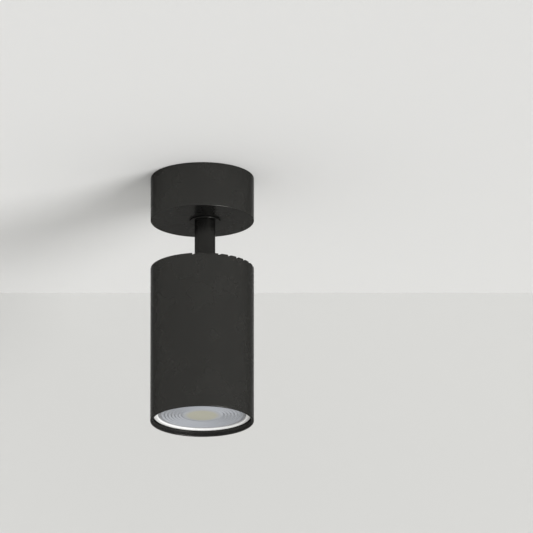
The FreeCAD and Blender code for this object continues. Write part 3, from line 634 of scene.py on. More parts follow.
zinc = metal("zinc_plate", (0.60, 0.60, 0.585), 0.32, tone=0.25, gloss=0.2, depth=0.006)
screw_zinc = metal("zinc_screws", (0.56, 0.555, 0.53), 0.28, gloss=0.15, depth=0.003)
black_oxide = metal("black_oxide", (0.030, 0.030, 0.032), 0.38, tone=0.3,
                    settings={"Metallic": 0.6})
spring_steel = metal("spring_steel", (0.50, 0.495, 0.48), 0.25, depth=0.003)
brass = metal("brass", (0.66, 0.46, 0.19), 0.27, gloss=0.12)
nickel = metal("nickel_on_brass", (0.64, 0.61, 0.55), 0.22, tone=0.12, depth=0.003)
copper = metal("copper_core", (0.72, 0.36, 0.20), 0.35)
print("metals:", zinc.name, brass.name, nickel.name, copper.name)

# %% [markdown]
# Nylon lets a little light in, which a small subsurface weight gives. The glaze of the ceramic
# is a clear coat over a rougher body, and the plastics of the lamp are plain and pale.

# %% Mix the plastics and the ceramic


def moulded(name, colour, roughness, tone=0.08, gloss=0.08, depth=0.01, **rest):
    """A finish on the moulded group."""
    return finish(name, moulded_tree, colour, roughness, tone, gloss, depth, **rest)


nylon = moulded("nylon", (0.70, 0.69, 0.62), 0.45,
                settings={"Subsurface Weight": 0.15, "Subsurface Scale": 0.4 * MM})
ivory_plastic = moulded("ivory_plastic", (0.72, 0.68, 0.56), 0.33)
ceramic = moulded("glazed_ceramic", (0.74, 0.72, 0.66), 0.22, tone=0.16, gloss=0.12, depth=0.03,
                  group_values={"Specks": 0.8}, settings={"Coat Weight": 0.35})
white_plastic = moulded("white_lamp_plastic", (0.92, 0.92, 0.91), 0.28, tone=0.05, gloss=0.06,
                        depth=0.008)
lamp_plastic = moulded("lamp_body_plastic", (0.70, 0.70, 0.69), 0.42, tone=0.06, gloss=0.1,
                       depth=0.015)
solder_mask = moulded("white_solder_mask", (0.66, 0.66, 0.64), 0.35, tone=0.06, depth=0.008)
print("plastics:", nylon.name, ivory_plastic.name, ceramic.name, white_plastic.name)

# %% [markdown]
# ## The ceiling cup
# The cup is a deep drawn or die cast shell with a flat bottom. It is spun as one section, wall and
# floor together, and only its few ring edges are eased. A cast lug inside is what the swivel's
# end stop meets. It is a small block, welded on, since nothing that is spun can make it.

# %% Turn the cup
CUP_WALL = 1.5 * MM
CUP_FLOOR = 2.0 * MM
CUP_EDGE = 0.45 * MM
LUG_EDGE = 0.3 * MM
LUG_LOW, LUG_HIGH = Vector((-1.5, 7, -22.3)) * MM, Vector((1.5, 10, -19.25)) * MM

inside = CUP_RADIUS - CUP_WALL
floor_top = cup_low.z + CUP_FLOOR
cup = lathe([(0, cup_low.z), (CUP_RADIUS, cup_low.z), (CUP_RADIUS, cup_high.z),
             (inside, cup_high.z), (inside, floor_top), (0, floor_top)], FINE, closed=False)
ease(cup, CUP_EDGE, segments=4)
cup = weld([cup, ease(block(LUG_LOW, LUG_HIGH), LUG_EDGE)])
print("cup with its lug:", len(cup.faces), "faces")

# %% [markdown]
# The hole for the stem sits 2 mm off the middle, so it can't be part of the outline: it is
# drilled afterwards, as are the two holes for the grub screws. `around` gives a point on a circle
# about the middle axis, which many pieces of a round product need.

# %% Drill the cup
REACH = 3 * MM
M3_HOLE = 1.55 * MM
NECK_HOLE = 5.05 * MM
GRUB_ANGLES = (math.radians(-45), math.radians(135))


def around(angle, radius, height):
    """A point at a distance from the middle axis, in a direction."""
    return Vector((radius * math.cos(angle), radius * math.sin(angle), height))


def drill(x, y, low, high, radius=M3_HOLE, steps=32):
    """An upright cutter for a round hole."""
    return rod(radius, (x, y, low), (x, y, high), steps)


stem_low, stem_high = corners("stem_tube")
grub_low, grub_high = corners("canopy_grub_screws")
STEM_X, STEM_Y = ((stem_low + stem_high) / 2).xy
grub_height = (grub_low.z + grub_high.z) / 2
drills = [drill(STEM_X, STEM_Y, cup_low.z - REACH, floor_top + REACH, NECK_HOLE, 64)]
drills += [rod(M3_HOLE, around(angle, inside - REACH, grub_height),
               around(angle, CUP_RADIUS + REACH, grub_height), 32) for angle in GRUB_ANGLES]
piece("cup_cover", carve(cup, drills), black_coat, "canopy_cup")

# %% [markdown]
# ## The can of the spot
# The can is a tube with a thick top, milled with nine straight grooves that cool the lamp. They
# are cut by a ladder of long bars. Each bar widens at its upper edge, so the cut leaves a small
# chamfer that catches the light.

# %% Make the groove cutters
GROOVE_COUNT = 9
GROOVE_PITCH = 5.15 * MM
GROOVE_WIDTH = 1.8 * MM
GROOVE_DEPTH = 1.0 * MM
CHAMFER = 0.12 * MM


def groove_bar(x):
    """A bar along Y whose upper part widens, to cut a chamfered groove."""
    half, top = GROOVE_WIDTH / 2, can_high.z
    wide = half + CHAMFER + REACH
    section = [(-half, top - GROOVE_DEPTH), (half, top - GROOVE_DEPTH), (half, top - CHAMFER),
               (wide, top + REACH), (-wide, top + REACH), (-half, top - CHAMFER)]
    start = -CAN_RADIUS - REACH
    return sheet_cut([(x + side, start, height) for side, height in section],
                     Vector((0, -2 * start, 0)))


middle = (GROOVE_COUNT - 1) / 2
bars = [groove_bar((number - middle) * GROOVE_PITCH) for number in range(GROOVE_COUNT)]
print("grooves:", GROOVE_COUNT, "from", round(-middle * GROOVE_PITCH / MM, 1), "mm")

# %% [markdown]
# A slot from the middle of the top to its side, and on down the wall, lets the stem swing out as
# the head tilts. Its section ends in a half circle about the pivot bolt, so the stem keeps the
# same gap all round. An upright rod rounds the end where the stem stands at rest.

# %% Make the slot cutters
SLOT_RADIUS = 5.7 * MM
SLOT_LENGTH = CAN_RADIUS * 1.2
ARC_STEPS = 24
pivot_low, pivot_high = corners("pivot_bolt")
PIVOT = Vector((STEM_X, STEM_Y, (pivot_low.z + pivot_high.z) / 2))

above = can_high.z + REACH
arc = [-math.pi * step / ARC_STEPS for step in range(ARC_STEPS + 1)]
section = [(PIVOT.x + SLOT_RADIUS, above)]
section += [(PIVOT.x + SLOT_RADIUS * math.cos(angle), PIVOT.z + SLOT_RADIUS * math.sin(angle))
            for angle in arc]
section.append((PIVOT.x - SLOT_RADIUS, above))
slot = [sheet_cut([(x, PIVOT.y, z) for x, z in section], Vector((0, SLOT_LENGTH, 0))),
        drill(PIVOT.x, PIVOT.y, PIVOT.z, above, SLOT_RADIUS, 64)]
print("slot", round(2 * SLOT_RADIUS / MM, 1), "mm wide, pivot at", round(PIVOT.z / MM, 1), "mm")

# %% [markdown]
# Tube and top are spun as one, and all cuts are made at once. Two blind holes under the top take
# the screws of the brackets.

# %% Make the can
CAN_WALL = 1.2 * MM
CAN_DECK = 7.0 * MM
CAN_EDGE = 0.4 * MM
BLIND_DEPTH = 3.4 * MM
BRACKET_SCREW_X = 18.2 * MM

can_inside = CAN_RADIUS - CAN_WALL
deck_under = can_high.z - CAN_DECK
outline = [(0, deck_under), (can_inside, deck_under), (can_inside, can_low.z),
           (CAN_RADIUS, can_low.z), (CAN_RADIUS, can_high.z), (0, can_high.z)]
can = ease(lathe(outline, FINE, closed=False), CAN_EDGE, segments=4)
blind_holes = [drill(side * BRACKET_SCREW_X, 0, deck_under - REACH, deck_under + BLIND_DEPTH)
               for side in SIDES]
piece("can_body", carve(can, bars + slot + blind_holes), black_coat, "head_body")

# %% [markdown]
# ## The stem
# The stem is a steel tube with a collar that bears on the cup, and above it a threaded neck that
# the lock nut holds. A thread is real geometry here: the outline has four rings for each turn,
# and `helix` then presses each point of the wall in by how far it is from the crest.

# %% Cut threads as a helix
THREAD_DEPTH = 0.5


def levels(low, high, pitch):
    """Heights for the rings of a thread, four to a turn."""
    count = max(2, round((high - low) / pitch * 4))
    return [low + (high - low) * step / count for step in range(count + 1)]


def helix(bm, low, high, radius, depth, pitch, x=0.0, y=0.0):
    """Presses a thread into the round wall between two heights."""
    for vert in bm.verts:
        aside = Vector((vert.co.x - x, vert.co.y - y))
        if abs(aside.length - radius) > 0.02 * radius or not low < vert.co.z < high:
            continue
        turns = (vert.co.z - low) / pitch - math.atan2(aside.y, aside.x) / math.tau
        crest = abs(2 * (turns - math.floor(turns)) - 1)
        shrunk = aside * ((radius - depth * (1 - crest)) / aside.length)
        vert.co.x, vert.co.y = x + shrunk.x, y + shrunk.y


print("rings of a 5 mm thread:", len(levels(0, 5, 1)))

# %% [markdown]
# The tube, its collar and its neck are one spin, with the bore in the same outline. Only the two
# rims of the collar are eased before the thread is pressed in.

# %% Turn the stem
TUBE_RADIUS = 5.3 * MM
BORE_RADIUS = 3.4 * MM
NECK_RADIUS = 5.0 * MM
NECK_PITCH = 1.0 * MM
COLLAR_LOW = -24.2 * MM
COLLAR_TOP = -23.35 * MM
COLLAR_RADIUS = stem_high.x
STEM_EDGE = 0.2 * MM

neck_top = stem_high.z
outline = [(BORE_RADIUS, stem_low.z), (TUBE_RADIUS, stem_low.z), (TUBE_RADIUS, COLLAR_LOW),
           (COLLAR_RADIUS, COLLAR_LOW), (COLLAR_RADIUS, COLLAR_TOP)]
outline += [(NECK_RADIUS, height) for height in levels(COLLAR_TOP, neck_top, NECK_PITCH)]
stem = lathe(outline + [(BORE_RADIUS, neck_top)], MEDIUM, STEM_X, STEM_Y)


def on_collar(edge):
    """Is it one of the collar's two rims?"""
    aside = [Vector((vert.co.x - STEM_X, vert.co.y - STEM_Y)).length for vert in edge.verts]
    return is_sharp(edge) and min(aside) > COLLAR_RADIUS * 0.99


ease(stem, STEM_EDGE, segments=3, wanted=on_collar)
helix(stem, COLLAR_TOP + NECK_PITCH, neck_top, NECK_RADIUS, THREAD_DEPTH * NECK_PITCH, NECK_PITCH,
      STEM_X, STEM_Y)
print("stem:", len(stem.faces), "faces before its eye is cut")

# %% [markdown]
# The lower end is an eye for the pivot bolt: two flats, a round end about the bolt and a cross
# hole. The round end is cut by a block from which a rod about the pivot was cut first.

# %% Cut the eye of the stem
FLATS = 8.6 * MM
FLATS_TOP = -54.5 * MM
ASIDE = 8 * MM


def pivot_rod(radius, half, steps=32):
    """A bar across the pivot."""
    return rod(radius, PIVOT - half * X_AXIS, PIVOT + half * X_AXIS, steps)


beneath = stem_low.z - REACH
end_cut = carve(post(PIVOT.x, PIVOT.y, ASIDE, ASIDE, beneath, PIVOT.z),
                [pivot_rod(TUBE_RADIUS, TUBE_RADIUS * 2, 64)])
flat_cuts = [block((PIVOT.x + side * FLATS / 2, PIVOT.y - ASIDE, beneath),
                   (PIVOT.x + side * ASIDE, PIVOT.y + ASIDE, FLATS_TOP)) for side in SIDES]
for cutters in ([end_cut], flat_cuts, [pivot_rod(M3_HOLE, ASIDE)]):
    stem = carve(stem, cutters)
# The stem gets the coat with painted shade.
piece("stem_pipe", stem, stem_coat_shaded, "stem_tube")

# %% [markdown]
# ## The lamp's front ring
# The white ring is the only bright part in the mouth of the can. It stands a little proud of the
# lens, and its two rims are well rounded, as they come from a mould. A spin of four corners with a
# bevel gives it.

# %% Make the front ring
RING_INSIDE = 22.5 * MM
RING_EDGE = 0.55 * MM
NEAR = 0.1 * MM
ring_low, ring_high = corners("lamp_front_ring")
LAMP_RADIUS = ring_high.x
ring = lathe(ring_outline(LAMP_RADIUS, RING_INSIDE, ring_low.z, ring_high.z), FINE)


def at_front(edge):
    """Is it one of the ring's front rims?"""
    return is_sharp(edge) and max(vert.co.z for vert in edge.verts) < ring_low.z + NEAR


piece("front_ring", ease(ring, RING_EDGE, 5, at_front), white_plastic, "lamp_front_ring")

# %% [markdown]
# ## The lens
# The lens is a moulded disc of translucent plastic. Its middle is plain, and round it run fine
# ridges that spread the light, 1.75 mm apart. They are real geometry, as waves in the spun outline,
# so they show in the mesh too. The rim drops back into a step, and its darker colour there is
# painted shade of the recess at the front ring.

# %% Shape the lens
LENS_PLAIN = 9.15 * MM
RIDGE_PITCH = 1.75 * MM
RIDGE_COUNT = 6
RIDGE_HEIGHT = 0.42 * MM
RIDGE_POINTS = 6
RIM_RADIUS = 21.2 * MM
RIM_STEP = 0.35 * MM
RIM_CHAMFER = 0.15 * MM
MIDDLE_STEP = 0.05 * MM

lens_low, lens_high = corners("lamp_lens")
front = lens_low.z
lens_outline = [(0, lens_high.z), (lens_high.x, lens_high.z), (lens_high.x, front + RIM_STEP),
                (RIM_RADIUS, front + RIM_STEP), (RIM_RADIUS - RIM_CHAMFER, front + RIM_CHAMFER)]
for step in range(RIDGE_COUNT * RIDGE_POINTS, -1, -1):
    wave = (1 + math.cos(math.tau * step / RIDGE_POINTS)) / 2
    radius = LENS_PLAIN + RIDGE_PITCH * (step / RIDGE_POINTS + 0.5)
    lens_outline.append((radius, front + RIDGE_HEIGHT * (1 - wave)))
lens_outline += [(LENS_PLAIN, front + MIDDLE_STEP), (0, front)]
lens = lathe(lens_outline, FINE, closed=False)
print("ridges of the lens:", RIDGE_COUNT, "every", RIDGE_PITCH / MM, "mm")

# %% [markdown]
# The plastic is a pale blue grey that lets a little light through. Over the light source it looks
# yellowish, because it scatters the colour of the phosphor behind it. So its colour changes with
# the distance from the middle, over the last millimetres of the source's disc.

# %% Tint the lens
LENS_ALPHA = 0.80
LENS_IOR = 1.49
LENS_TINT = (0.42, 0.438, 0.475, 1)
GLOW_TINT = (0.455, 0.445, 0.35, 1)
# The rim's darker tint is painted shade of the recess at the front ring.
RIM_SHADE_TINT = (0.24, 0.245, 0.26)
GLOW_INNER, GLOW_OUTER = 6.8 * MM, 9.4 * MM


def colour_mix(tree, factor, first, second):
    """A colour between two, by a factor from 0 to 1."""
    mix = add(tree, "Mix", {"Factor": factor, "A": first, "B": second}, data_type="RGBA")
    return mix.outputs["Result"]


def glow_tint(tree):
    """The lens colour, yellowish near the middle axis."""
    place = add(tree, "TexCoord").outputs["Object"]
    flat = add(tree, "VectorMath", {0: place, 1: (1, 1, 0)}, operation="MULTIPLY")
    away = add(tree, "VectorMath", {0: flat.outputs["Vector"]}, operation="LENGTH")
    factor = spread(tree, away.outputs["Value"], 0, 1, GLOW_INNER, GLOW_OUTER)
    return colour_mix(tree, factor, GLOW_TINT, LENS_TINT)


def lens_plastic(name, colour, alpha, roughness, source=None):
    """Clear plastic with a haze of its own colour."""
    return moulded(name, colour, roughness, tone=0.03, gloss=0.04, depth=0.004,
                   colour_source=source, settings={"Alpha": alpha, "IOR": LENS_IOR})


lens_clear = lens_plastic("lens_plastic", LENS_TINT[:3], LENS_ALPHA, 0.26, glow_tint)
# The rim material is painted shade: a dark, nearly opaque tint for the recess at the ring.
lens_rim_shade = lens_plastic("lens_rim_painted_shade", RIM_SHADE_TINT, 0.92, 0.35)
print("lens lets through", round(1 - LENS_ALPHA, 2))

# %% [markdown]
# One disc has two materials here: faces beyond a radius get the second one. The light source uses
# the same helper for the raised ring round its gel.

# %% Paint the rim and finish the lens


def paint_outside(bm, radius):
    """Gives the faces beyond a radius the second material."""
    for face in bm.faces:
        if face.calc_center_median().xy.length > radius:
            face.material_index = 1
    return bm


# Faces at the rim get the painted shade.
paint_outside(lens, RIM_RADIUS - RIM_CHAMFER)
piece("front_lens", lens, [lens_clear, lens_rim_shade], "lamp_lens")

# %% [markdown]
# ## The light source
# Behind the lens lies a chip-on-board source: a round white board, and on it a yellow disc of
# phosphor gel inside a raised ring. Both are spun, and the gel sags a little towards its middle.
# The front of the disc is a list of radii and of heights in millimetres, from the rim inwards.

# %% Make the phosphor disc
DAM_WIDTH = 0.6 * MM
led_low, led_high = corners("lamp_led")
led_radius = led_high.x
phosphor = moulded("phosphor_gel", (0.80, 0.62, 0.20), 0.35, gloss=0.05, depth=0.02)
gel = [(led_radius, 0.15), (led_radius - DAM_WIDTH / 2, 0), (led_radius - DAM_WIDTH, 0.25),
       (led_radius / 2, 0.1), (0, 0.08)]
outline = [(0, led_high.z), (led_radius, led_high.z)]
outline += [(radius, led_low.z + height * MM) for radius, height in gel]
led = lathe(outline, MEDIUM, closed=False)
piece("led_disc", paint_outside(led, led_radius - DAM_WIDTH), [phosphor, white_plastic], "lamp_led")

# %% [markdown]
# The board under it is aluminium with a white solder mask, so it gets the mask's paint. A plain
# cylinder would do too, but a spin keeps its rim in line with the disc on it.

# %% Make the board
BOARD_EDGE = 0.1 * MM
board_low, board_high = corners("lamp_led_board")
board = lathe([(0, board_low.z), (board_high.x, board_low.z), (board_high.x, board_high.z),
               (0, board_high.z)], MEDIUM, closed=False)
piece("led_plate", ease(board, BOARD_EDGE), solder_mask, "lamp_led_board")

# %% [markdown]
# ## Screws and nuts
# The screws here have hexagon heads. A real one is cut from hexagon bar, and a lathe then takes
# the tips off its six corners. So a head is what a hexagon and a chamfered disc have in common,
# which is an intersection. Every screw is made once on the Z axis, with its head under z = 0.

# %% Make a screw
HEX_TURN = math.pi / 6
TIP = 0.25 * MM


def hexagon_bar(flats, low, high, both=False):
    """A hexagon about the Z axis with its lower, or both, corner sets turned off."""
    inner, corner = 0.475 * flats, flats / math.sqrt(3)
    slope = (corner - inner) * math.tan(math.radians(30))
    top = [(corner, high - slope), (inner, high)] if both else [(corner, high)]
    disc = lathe([(0, low), (inner, low), (corner, low + slope)] + top + [(0, high)],
                 MEDIUM, closed=False)
    bar = rod(corner, (0, 0, low - REACH), (0, 0, high + REACH), 6, HEX_TURN)
    return carve(bar, [disc], "INTERSECT")


def threaded_bar(radius, low, high, pitch, plain=0.0):
    """A bar about the Z axis, with a thread above its plain part and a chamfered tip."""
    start = low + plain
    outline = [(0, low)] + ([(radius, low)] if plain else [])
    outline += [(radius, height) for height in levels(start, high - TIP, pitch)]
    bar = lathe(outline + [(radius * 0.8, high), (0, high)], SMALL, closed=False)
    helix(bar, start, high - TIP, radius, 0.6 * pitch, pitch)
    return bar


def hexagon_screw(flats, head, radius, grip, pitch, plain=0.0):
    """A screw with its head under z = 0 and its thread above."""
    return weld([hexagon_bar(flats, -head, 0), threaded_bar(radius, -TIP, grip, pitch, plain)])


# %% [markdown]
# The copies go to their places with a matrix: a move, after the turn that takes the Z axis to the
# way that the screw points. Identical fasteners share one piece.

# %% Place copies
M3_RADIUS = 1.5 * MM
M3_PITCH = 0.5 * MM
M3_FLATS = 5.5 * MM
M3_HEAD = 1.8 * MM


def at(point, way=Z_AXIS):
    """The matrix that takes the Z axis to a point and a direction."""
    return Matrix.Translation(point) @ way.to_track_quat("Z", "Y").to_matrix().to_4x4()


def placed(bm, spots):
    """Copies of a mesh, one at each matrix."""
    copies = []
    for spot in spots:
        copy = bm.copy()
        bmesh.ops.transform(copy, matrix=spot, verts=copy.verts)
        copies.append(copy)
    bm.free()
    return together(copies)


def m3_screw(grip, head=M3_HEAD, plain=0.0):
    """A hexagon screw of the size that holds most of the pieces."""
    return hexagon_screw(M3_FLATS, head, M3_RADIUS, grip, M3_PITCH, plain)


print("an M3 thread has", len(levels(0, 10 * MM, M3_PITCH)), "rings on 10 mm")

# %% [markdown]
# The bracket screws go up through the feet of the strap and the bracket into the can, and the
# screws of the lampholder go down through the crown of the strap. Both are the same kind of
# screw, so one helper makes them and only their lengths and places differ.

# %% Make the screws of the head
STRAP_SHEET = 1.2 * MM
HOLDER_SCREW_X = 10.5 * MM
HOLDER_HEAD = 1.4 * MM

foot_low, foot_high = corners("holder_bracket")
foot_under = foot_high.z - STRAP_SHEET
low, high = corners("bracket_screws")
spots = [at((side * BRACKET_SCREW_X, 0, foot_under)) for side in SIDES]
screws = placed(m3_screw(high.z - foot_under), spots)
piece("strap_screws", screws, screw_zinc, "bracket_screws")

low, high = corners("lampholder_screws")
crown_top = high.z - HOLDER_HEAD
spots = [at((side * HOLDER_SCREW_X, 0, crown_top), -Z_AXIS) for side in SIDES]
screws = placed(m3_screw(crown_top - low.z, HOLDER_HEAD), spots)
piece("holder_screws", screws, screw_zinc, "lampholder_screws")

# %% [markdown]
# The pivot bolt has a plain shank where the stem turns on it, and a thread only at its end for
# the nut. Its hexagon stands with a flat upwards, which is a quarter turn about its own axis.

# %% Make the pivot bolt and its nut
ACROSS = Matrix.Rotation(math.pi / 2, 4, "Z")
SHANK = 12 * MM
low, high = corners("pivot_bolt")
bolt_face = low.x + M3_HEAD
bolt = m3_screw(high.x - bolt_face, plain=SHANK)
spot = at((bolt_face, PIVOT.y, PIVOT.z), X_AXIS) @ ACROSS
piece("hinge_bolt", placed(bolt, [spot]), black_oxide, "pivot_bolt")

low, high = corners("pivot_nut")
nut = hexagon_bar(M3_FLATS, 0, high.x - low.x, both=True)
nut = carve(nut, [drill(0, 0, -REACH, 3 * REACH)])
spot = at((low.x, PIVOT.y, PIVOT.z), X_AXIS) @ ACROSS
piece("hinge_nut", placed(nut, [spot]), black_oxide, "pivot_nut")

# %% [markdown]
# The two grub screws are headless, with a hexagon socket in their outer end. They point out from
# the middle and press on the ears of the plate, which holds the cup against the ceiling. The
# socket is a six sided rod taken out of the threaded bar.

# %% Make the grub screws
SOCKET_RADIUS = 1.5 * MM / math.sqrt(3)
SOCKET_DEPTH = 1.3 * MM
GRUB_INNER = 22.685 * MM
GRUB_SUNK = 0.1 * MM
grub_length = CUP_RADIUS - GRUB_SUNK - GRUB_INNER
grub = threaded_bar(M3_RADIUS, 0, grub_length, M3_PITCH)
socket = drill(0, 0, grub_length - SOCKET_DEPTH, grub_length + REACH, SOCKET_RADIUS, 6)
spots = [at(around(angle, GRUB_INNER, grub_height), around(angle, 1, 0)) for angle in GRUB_ANGLES]
piece("grub_screws", placed(carve(grub, [socket]), spots), black_oxide, "canopy_grub_screws")

# %% [markdown]
# The earth screw has a slot across its head, so either a key or a screwdriver turns it. It is a
# block taken out of the finished head, as a real slot is sawn into it last.

# %% Make the earth screw
EARTH_FLATS = 6.0 * MM
EARTH_RADIUS = 1.75 * MM
EARTH_PITCH = 0.6 * MM
EARTH_SLOT = 0.8 * MM
SLOT_DEPTH = 0.9 * MM
low, high = corners("earth_screw")
earth_middle = (low + high) / 2
earth = hexagon_screw(EARTH_FLATS, M3_HEAD, EARTH_RADIUS, high.z - low.z - M3_HEAD, EARTH_PITCH)
earth = carve(earth, [block((-EARTH_FLATS, -EARTH_SLOT / 2, -M3_HEAD - REACH),
                            (EARTH_FLATS, EARTH_SLOT / 2, -M3_HEAD + SLOT_DEPTH))])
spot = at((earth_middle.x, earth_middle.y, low.z + M3_HEAD))
piece("earth_bolt", placed(earth, [spot]), brass, "earth_screw")

# %% [markdown]
# ## Folded sheet steel
# The plate on the ceiling, the hinge bracket and the strap are stamped from sheet and folded. A
# fold never has a sharp corner: the sheet bends round a radius, a little tighter inside than
# out. `folded` turns a path of straight runs into the outline of such a strip.

# %% Fold a strip
FOLD_STEPS = 6


def folded(path, thickness, bend):
    """The outline of a strip along the middle of its path, with round bends."""
    path = [Vector(point) for point in path]
    line = [(path[0], (path[1] - path[0]).normalized())]
    for before, corner, after in zip(path, path[1:], path[2:]):
        way, leave = (corner - before).normalized(), (after - corner).normalized()
        turn = math.atan2(way.x * leave.y - way.y * leave.x, way.dot(leave))
        side = Vector((-way.y, way.x)) * math.copysign(bend, turn)
        start = corner - way * bend * math.tan(abs(turn) / 2)
        for step in range(FOLD_STEPS + 1):
            rotation = Matrix.Rotation(turn * step / FOLD_STEPS, 2)
            line.append((start + side - rotation @ side, rotation @ way))
    line.append((path[-1], (path[-1] - path[-2]).normalized()))
    aside = [(point, Vector((-way.y, way.x)) * thickness / 2) for point, way in line]
    return ([point + shift for point, shift in aside]
            + [point - shift for point, shift in reversed(aside)])


def folded_strip(path, thickness, bend, start, width):
    """A strip whose path runs in X and Z, from a place on Y and this wide."""
    outline = folded(path, thickness, bend)
    return sheet_cut([(x, start, z) for x, z in outline], Vector((0, width, 0)))


sample = folded([(0, 0), (10, 0), (10, 10)], 2, 2)
print("a strip with one fold has an outline of", len(sample), "points")

# %% [markdown]
# The plate is an octagon that is pressed flat to the ceiling. Its two ears are bent down for the
# grub screws. Beside a fold in the middle of a sheet there is a small relief notch, or the steel
# would tear there.

# %% Cut the plate and fold its ears
PLATE_SHEET = 1.5 * MM
PLATE_RADIUS = 24.5 * MM
PLATE_FLAT = PLATE_RADIUS * math.cos(math.pi / 8)
FOLD_RADIUS = 1.25 * MM
EAR_WIDTH = 9.0 * MM
EAR_ROOT = 3.4 * MM
NOTCH_DEPTH = 1.8 * MM
RELIEF = 0.6 * MM

ears_low = corners("mounting_plate")[0].z
corner_angles = [math.radians(-22.5 + 45 * side) for side in range(8)]
plate = sheet_cut([around(angle, PLATE_RADIUS, -PLATE_SHEET) for angle in corner_angles],
                  Vector((0, 0, PLATE_SHEET)))
fold_at = PLATE_FLAT - PLATE_SHEET / 2
ear_path = [(fold_at - EAR_ROOT, -PLATE_SHEET / 2), (fold_at, -PLATE_SHEET / 2),
            (fold_at, ears_low)]
ears, notches = [], []
for angle in GRUB_ANGLES:
    ear = folded_strip(ear_path, PLATE_SHEET, FOLD_RADIUS, -EAR_WIDTH / 2, EAR_WIDTH)
    notch = block((fold_at - NOTCH_DEPTH, -EAR_WIDTH / 2 - RELIEF, -REACH),
                  (PLATE_RADIUS + REACH, EAR_WIDTH / 2 + RELIEF, REACH))
    turn = Matrix.Rotation(angle, 3, "Z")
    for part in (ear, notch):
        bmesh.ops.rotate(part, verts=part.verts, cent=(0, 0, 0), matrix=turn)
    ears.append(ear)
    notches.append(notch)
plate = weld([carve(plate, notches)] + ears)
print("plate with ears:", len(plate.faces), "faces")

# %% [markdown]
# Two slots take the ceiling screws, so the plate can be turned a little before they are tight.
# The cable comes through the middle hole. Beside it are the hole of the earth screw and two
# windows for the legs of the terminal block.

# %% Cut the openings of the plate
SLOT_SPACING = 34.0 * MM
SCREW_SLOT = (9.0 * MM, 4.4 * MM)
CABLE_HOLE = 6.0 * MM
EARTH_HOLE = 1.8 * MM
LATCHES = (10 * MM, 18 * MM)
WINDOW = (1.55 * MM, 0.85 * MM)
SHEET_EDGE = 0.12 * MM


def screw_slot(x, length, width):
    """A cutter for a slot with round ends along X."""
    half, radius = (length - width) / 2, width / 2
    points = []
    for end, start in ((1, -90), (-1, 90)):
        for step in range(13):
            angle = math.radians(start + 15 * step)
            points.append(around(angle, radius, -2 * REACH) + end * half * X_AXIS + x * X_AXIS)
    return sheet_cut(points, Vector((0, 0, 4 * REACH)))


holes = [screw_slot(side * SLOT_SPACING / 2, *SCREW_SLOT) for side in SIDES]
holes += [drill(0, 0, -REACH, REACH, CABLE_HOLE, 64),
          drill(0, earth_middle.y, -REACH, REACH, EARTH_HOLE)]
holes += [post(0, y, *WINDOW, -REACH, REACH) for y in LATCHES]
piece("ceiling_plate", ease(carve(plate, holes), SHEET_EDGE), zinc, "mounting_plate")

# %% [markdown]
# The hinge bracket is a flat plate under the top of the can. It is stamped with an opening in the
# middle, out of which its two ears are folded. Its outline is given in millimetres for one side
# and mirrored for the other.

# %% Cut the flat part of the hinge bracket
BRACKET_SHEET = 1.5 * MM
EAR_RADIUS = 6.0 * MM

low, high = corners("tilt_bracket")
wide = -low.x / MM
right_side = [(5.5, -8), (5.5, 7), (wide, 7), (wide, -7), (12, -7), (12, -14)]
flat_shape = right_side + [(-x, y) for x, y in reversed(right_side)]
bracket = sheet_cut([(x * MM, y * MM, high.z - BRACKET_SHEET) for x, y in flat_shape],
                    Vector((0, 0, BRACKET_SHEET)))
bracket = carve(bracket, [post(0, PIVOT.y, ASIDE, EAR_RADIUS + RELIEF, high.z - REACH,
                               high.z + REACH)])
print("bracket:", len(bracket.faces), "faces before its ears are welded on")

# %% [markdown]
# The ears stand one each side of the stem, and their ends are round about the pivot bolt. Each
# is a folded strip cut to its rounded side view, which is an intersection again.

# %% Fold the ears of the hinge
EAR_START = 9.5 * MM
EAR_MIDDLE = 6.25 * MM
FULL_WIDTH = 12 * MM

middle_z = high.z - BRACKET_SHEET / 2
ears = []
for side in SIDES:
    path = [(side * EAR_START, middle_z), (side * EAR_MIDDLE, middle_z), (side * EAR_MIDDLE, low.z)]
    ear = folded_strip(path, BRACKET_SHEET, FOLD_RADIUS, PIVOT.y - EAR_RADIUS, 2 * EAR_RADIUS)
    side_view = weld([pivot_rod(EAR_RADIUS, FULL_WIDTH, 64),
                      post(0, PIVOT.y, FULL_WIDTH, EAR_RADIUS, PIVOT.z, high.z + REACH)])
    ears.append(carve(ear, [side_view], "INTERSECT"))
holes = [pivot_rod(M3_HOLE, FULL_WIDTH)]
holes += [drill(side * BRACKET_SCREW_X, 0, high.z - REACH, high.z + REACH) for side in SIDES]
bracket = carve(weld([bracket] + ears), holes)
piece("hinge_bracket", ease(bracket, SHEET_EDGE), zinc, "tilt_bracket")

# %% [markdown]
# The strap is one strip of steel, bent four times like a hat. Its feet are screwed up under the
# bracket and the lampholder hangs from its crown. One path and one width make it, then the screw
# holes and the window for the wires are cut.

# %% Make the strap
FOOT_LENGTH = 7.8 * MM
WINDOW_HALF = 3 * MM

leg_x = foot_high.x - STRAP_SHEET / 2
foot_z, crown_z = foot_high.z - STRAP_SHEET / 2, foot_low.z + STRAP_SHEET / 2
hat = [(foot_high.x - FOOT_LENGTH, foot_z), (leg_x, foot_z), (leg_x, crown_z)]
hat += [(-x, z) for x, z in reversed(hat)]
strap = folded_strip(hat, STRAP_SHEET, STRAP_SHEET, foot_low.y, foot_high.y - foot_low.y)
holes = [post(0, 0, WINDOW_HALF, WINDOW_HALF, foot_low.z - REACH, foot_low.z + REACH)]
for x, z in ((BRACKET_SCREW_X, foot_z), (HOLDER_SCREW_X, crown_z)):
    holes += [drill(side * x, 0, z - REACH, z + REACH) for side in SIDES]
piece("holder_strap", ease(carve(strap, holes), SHEET_EDGE), zinc, "holder_bracket")

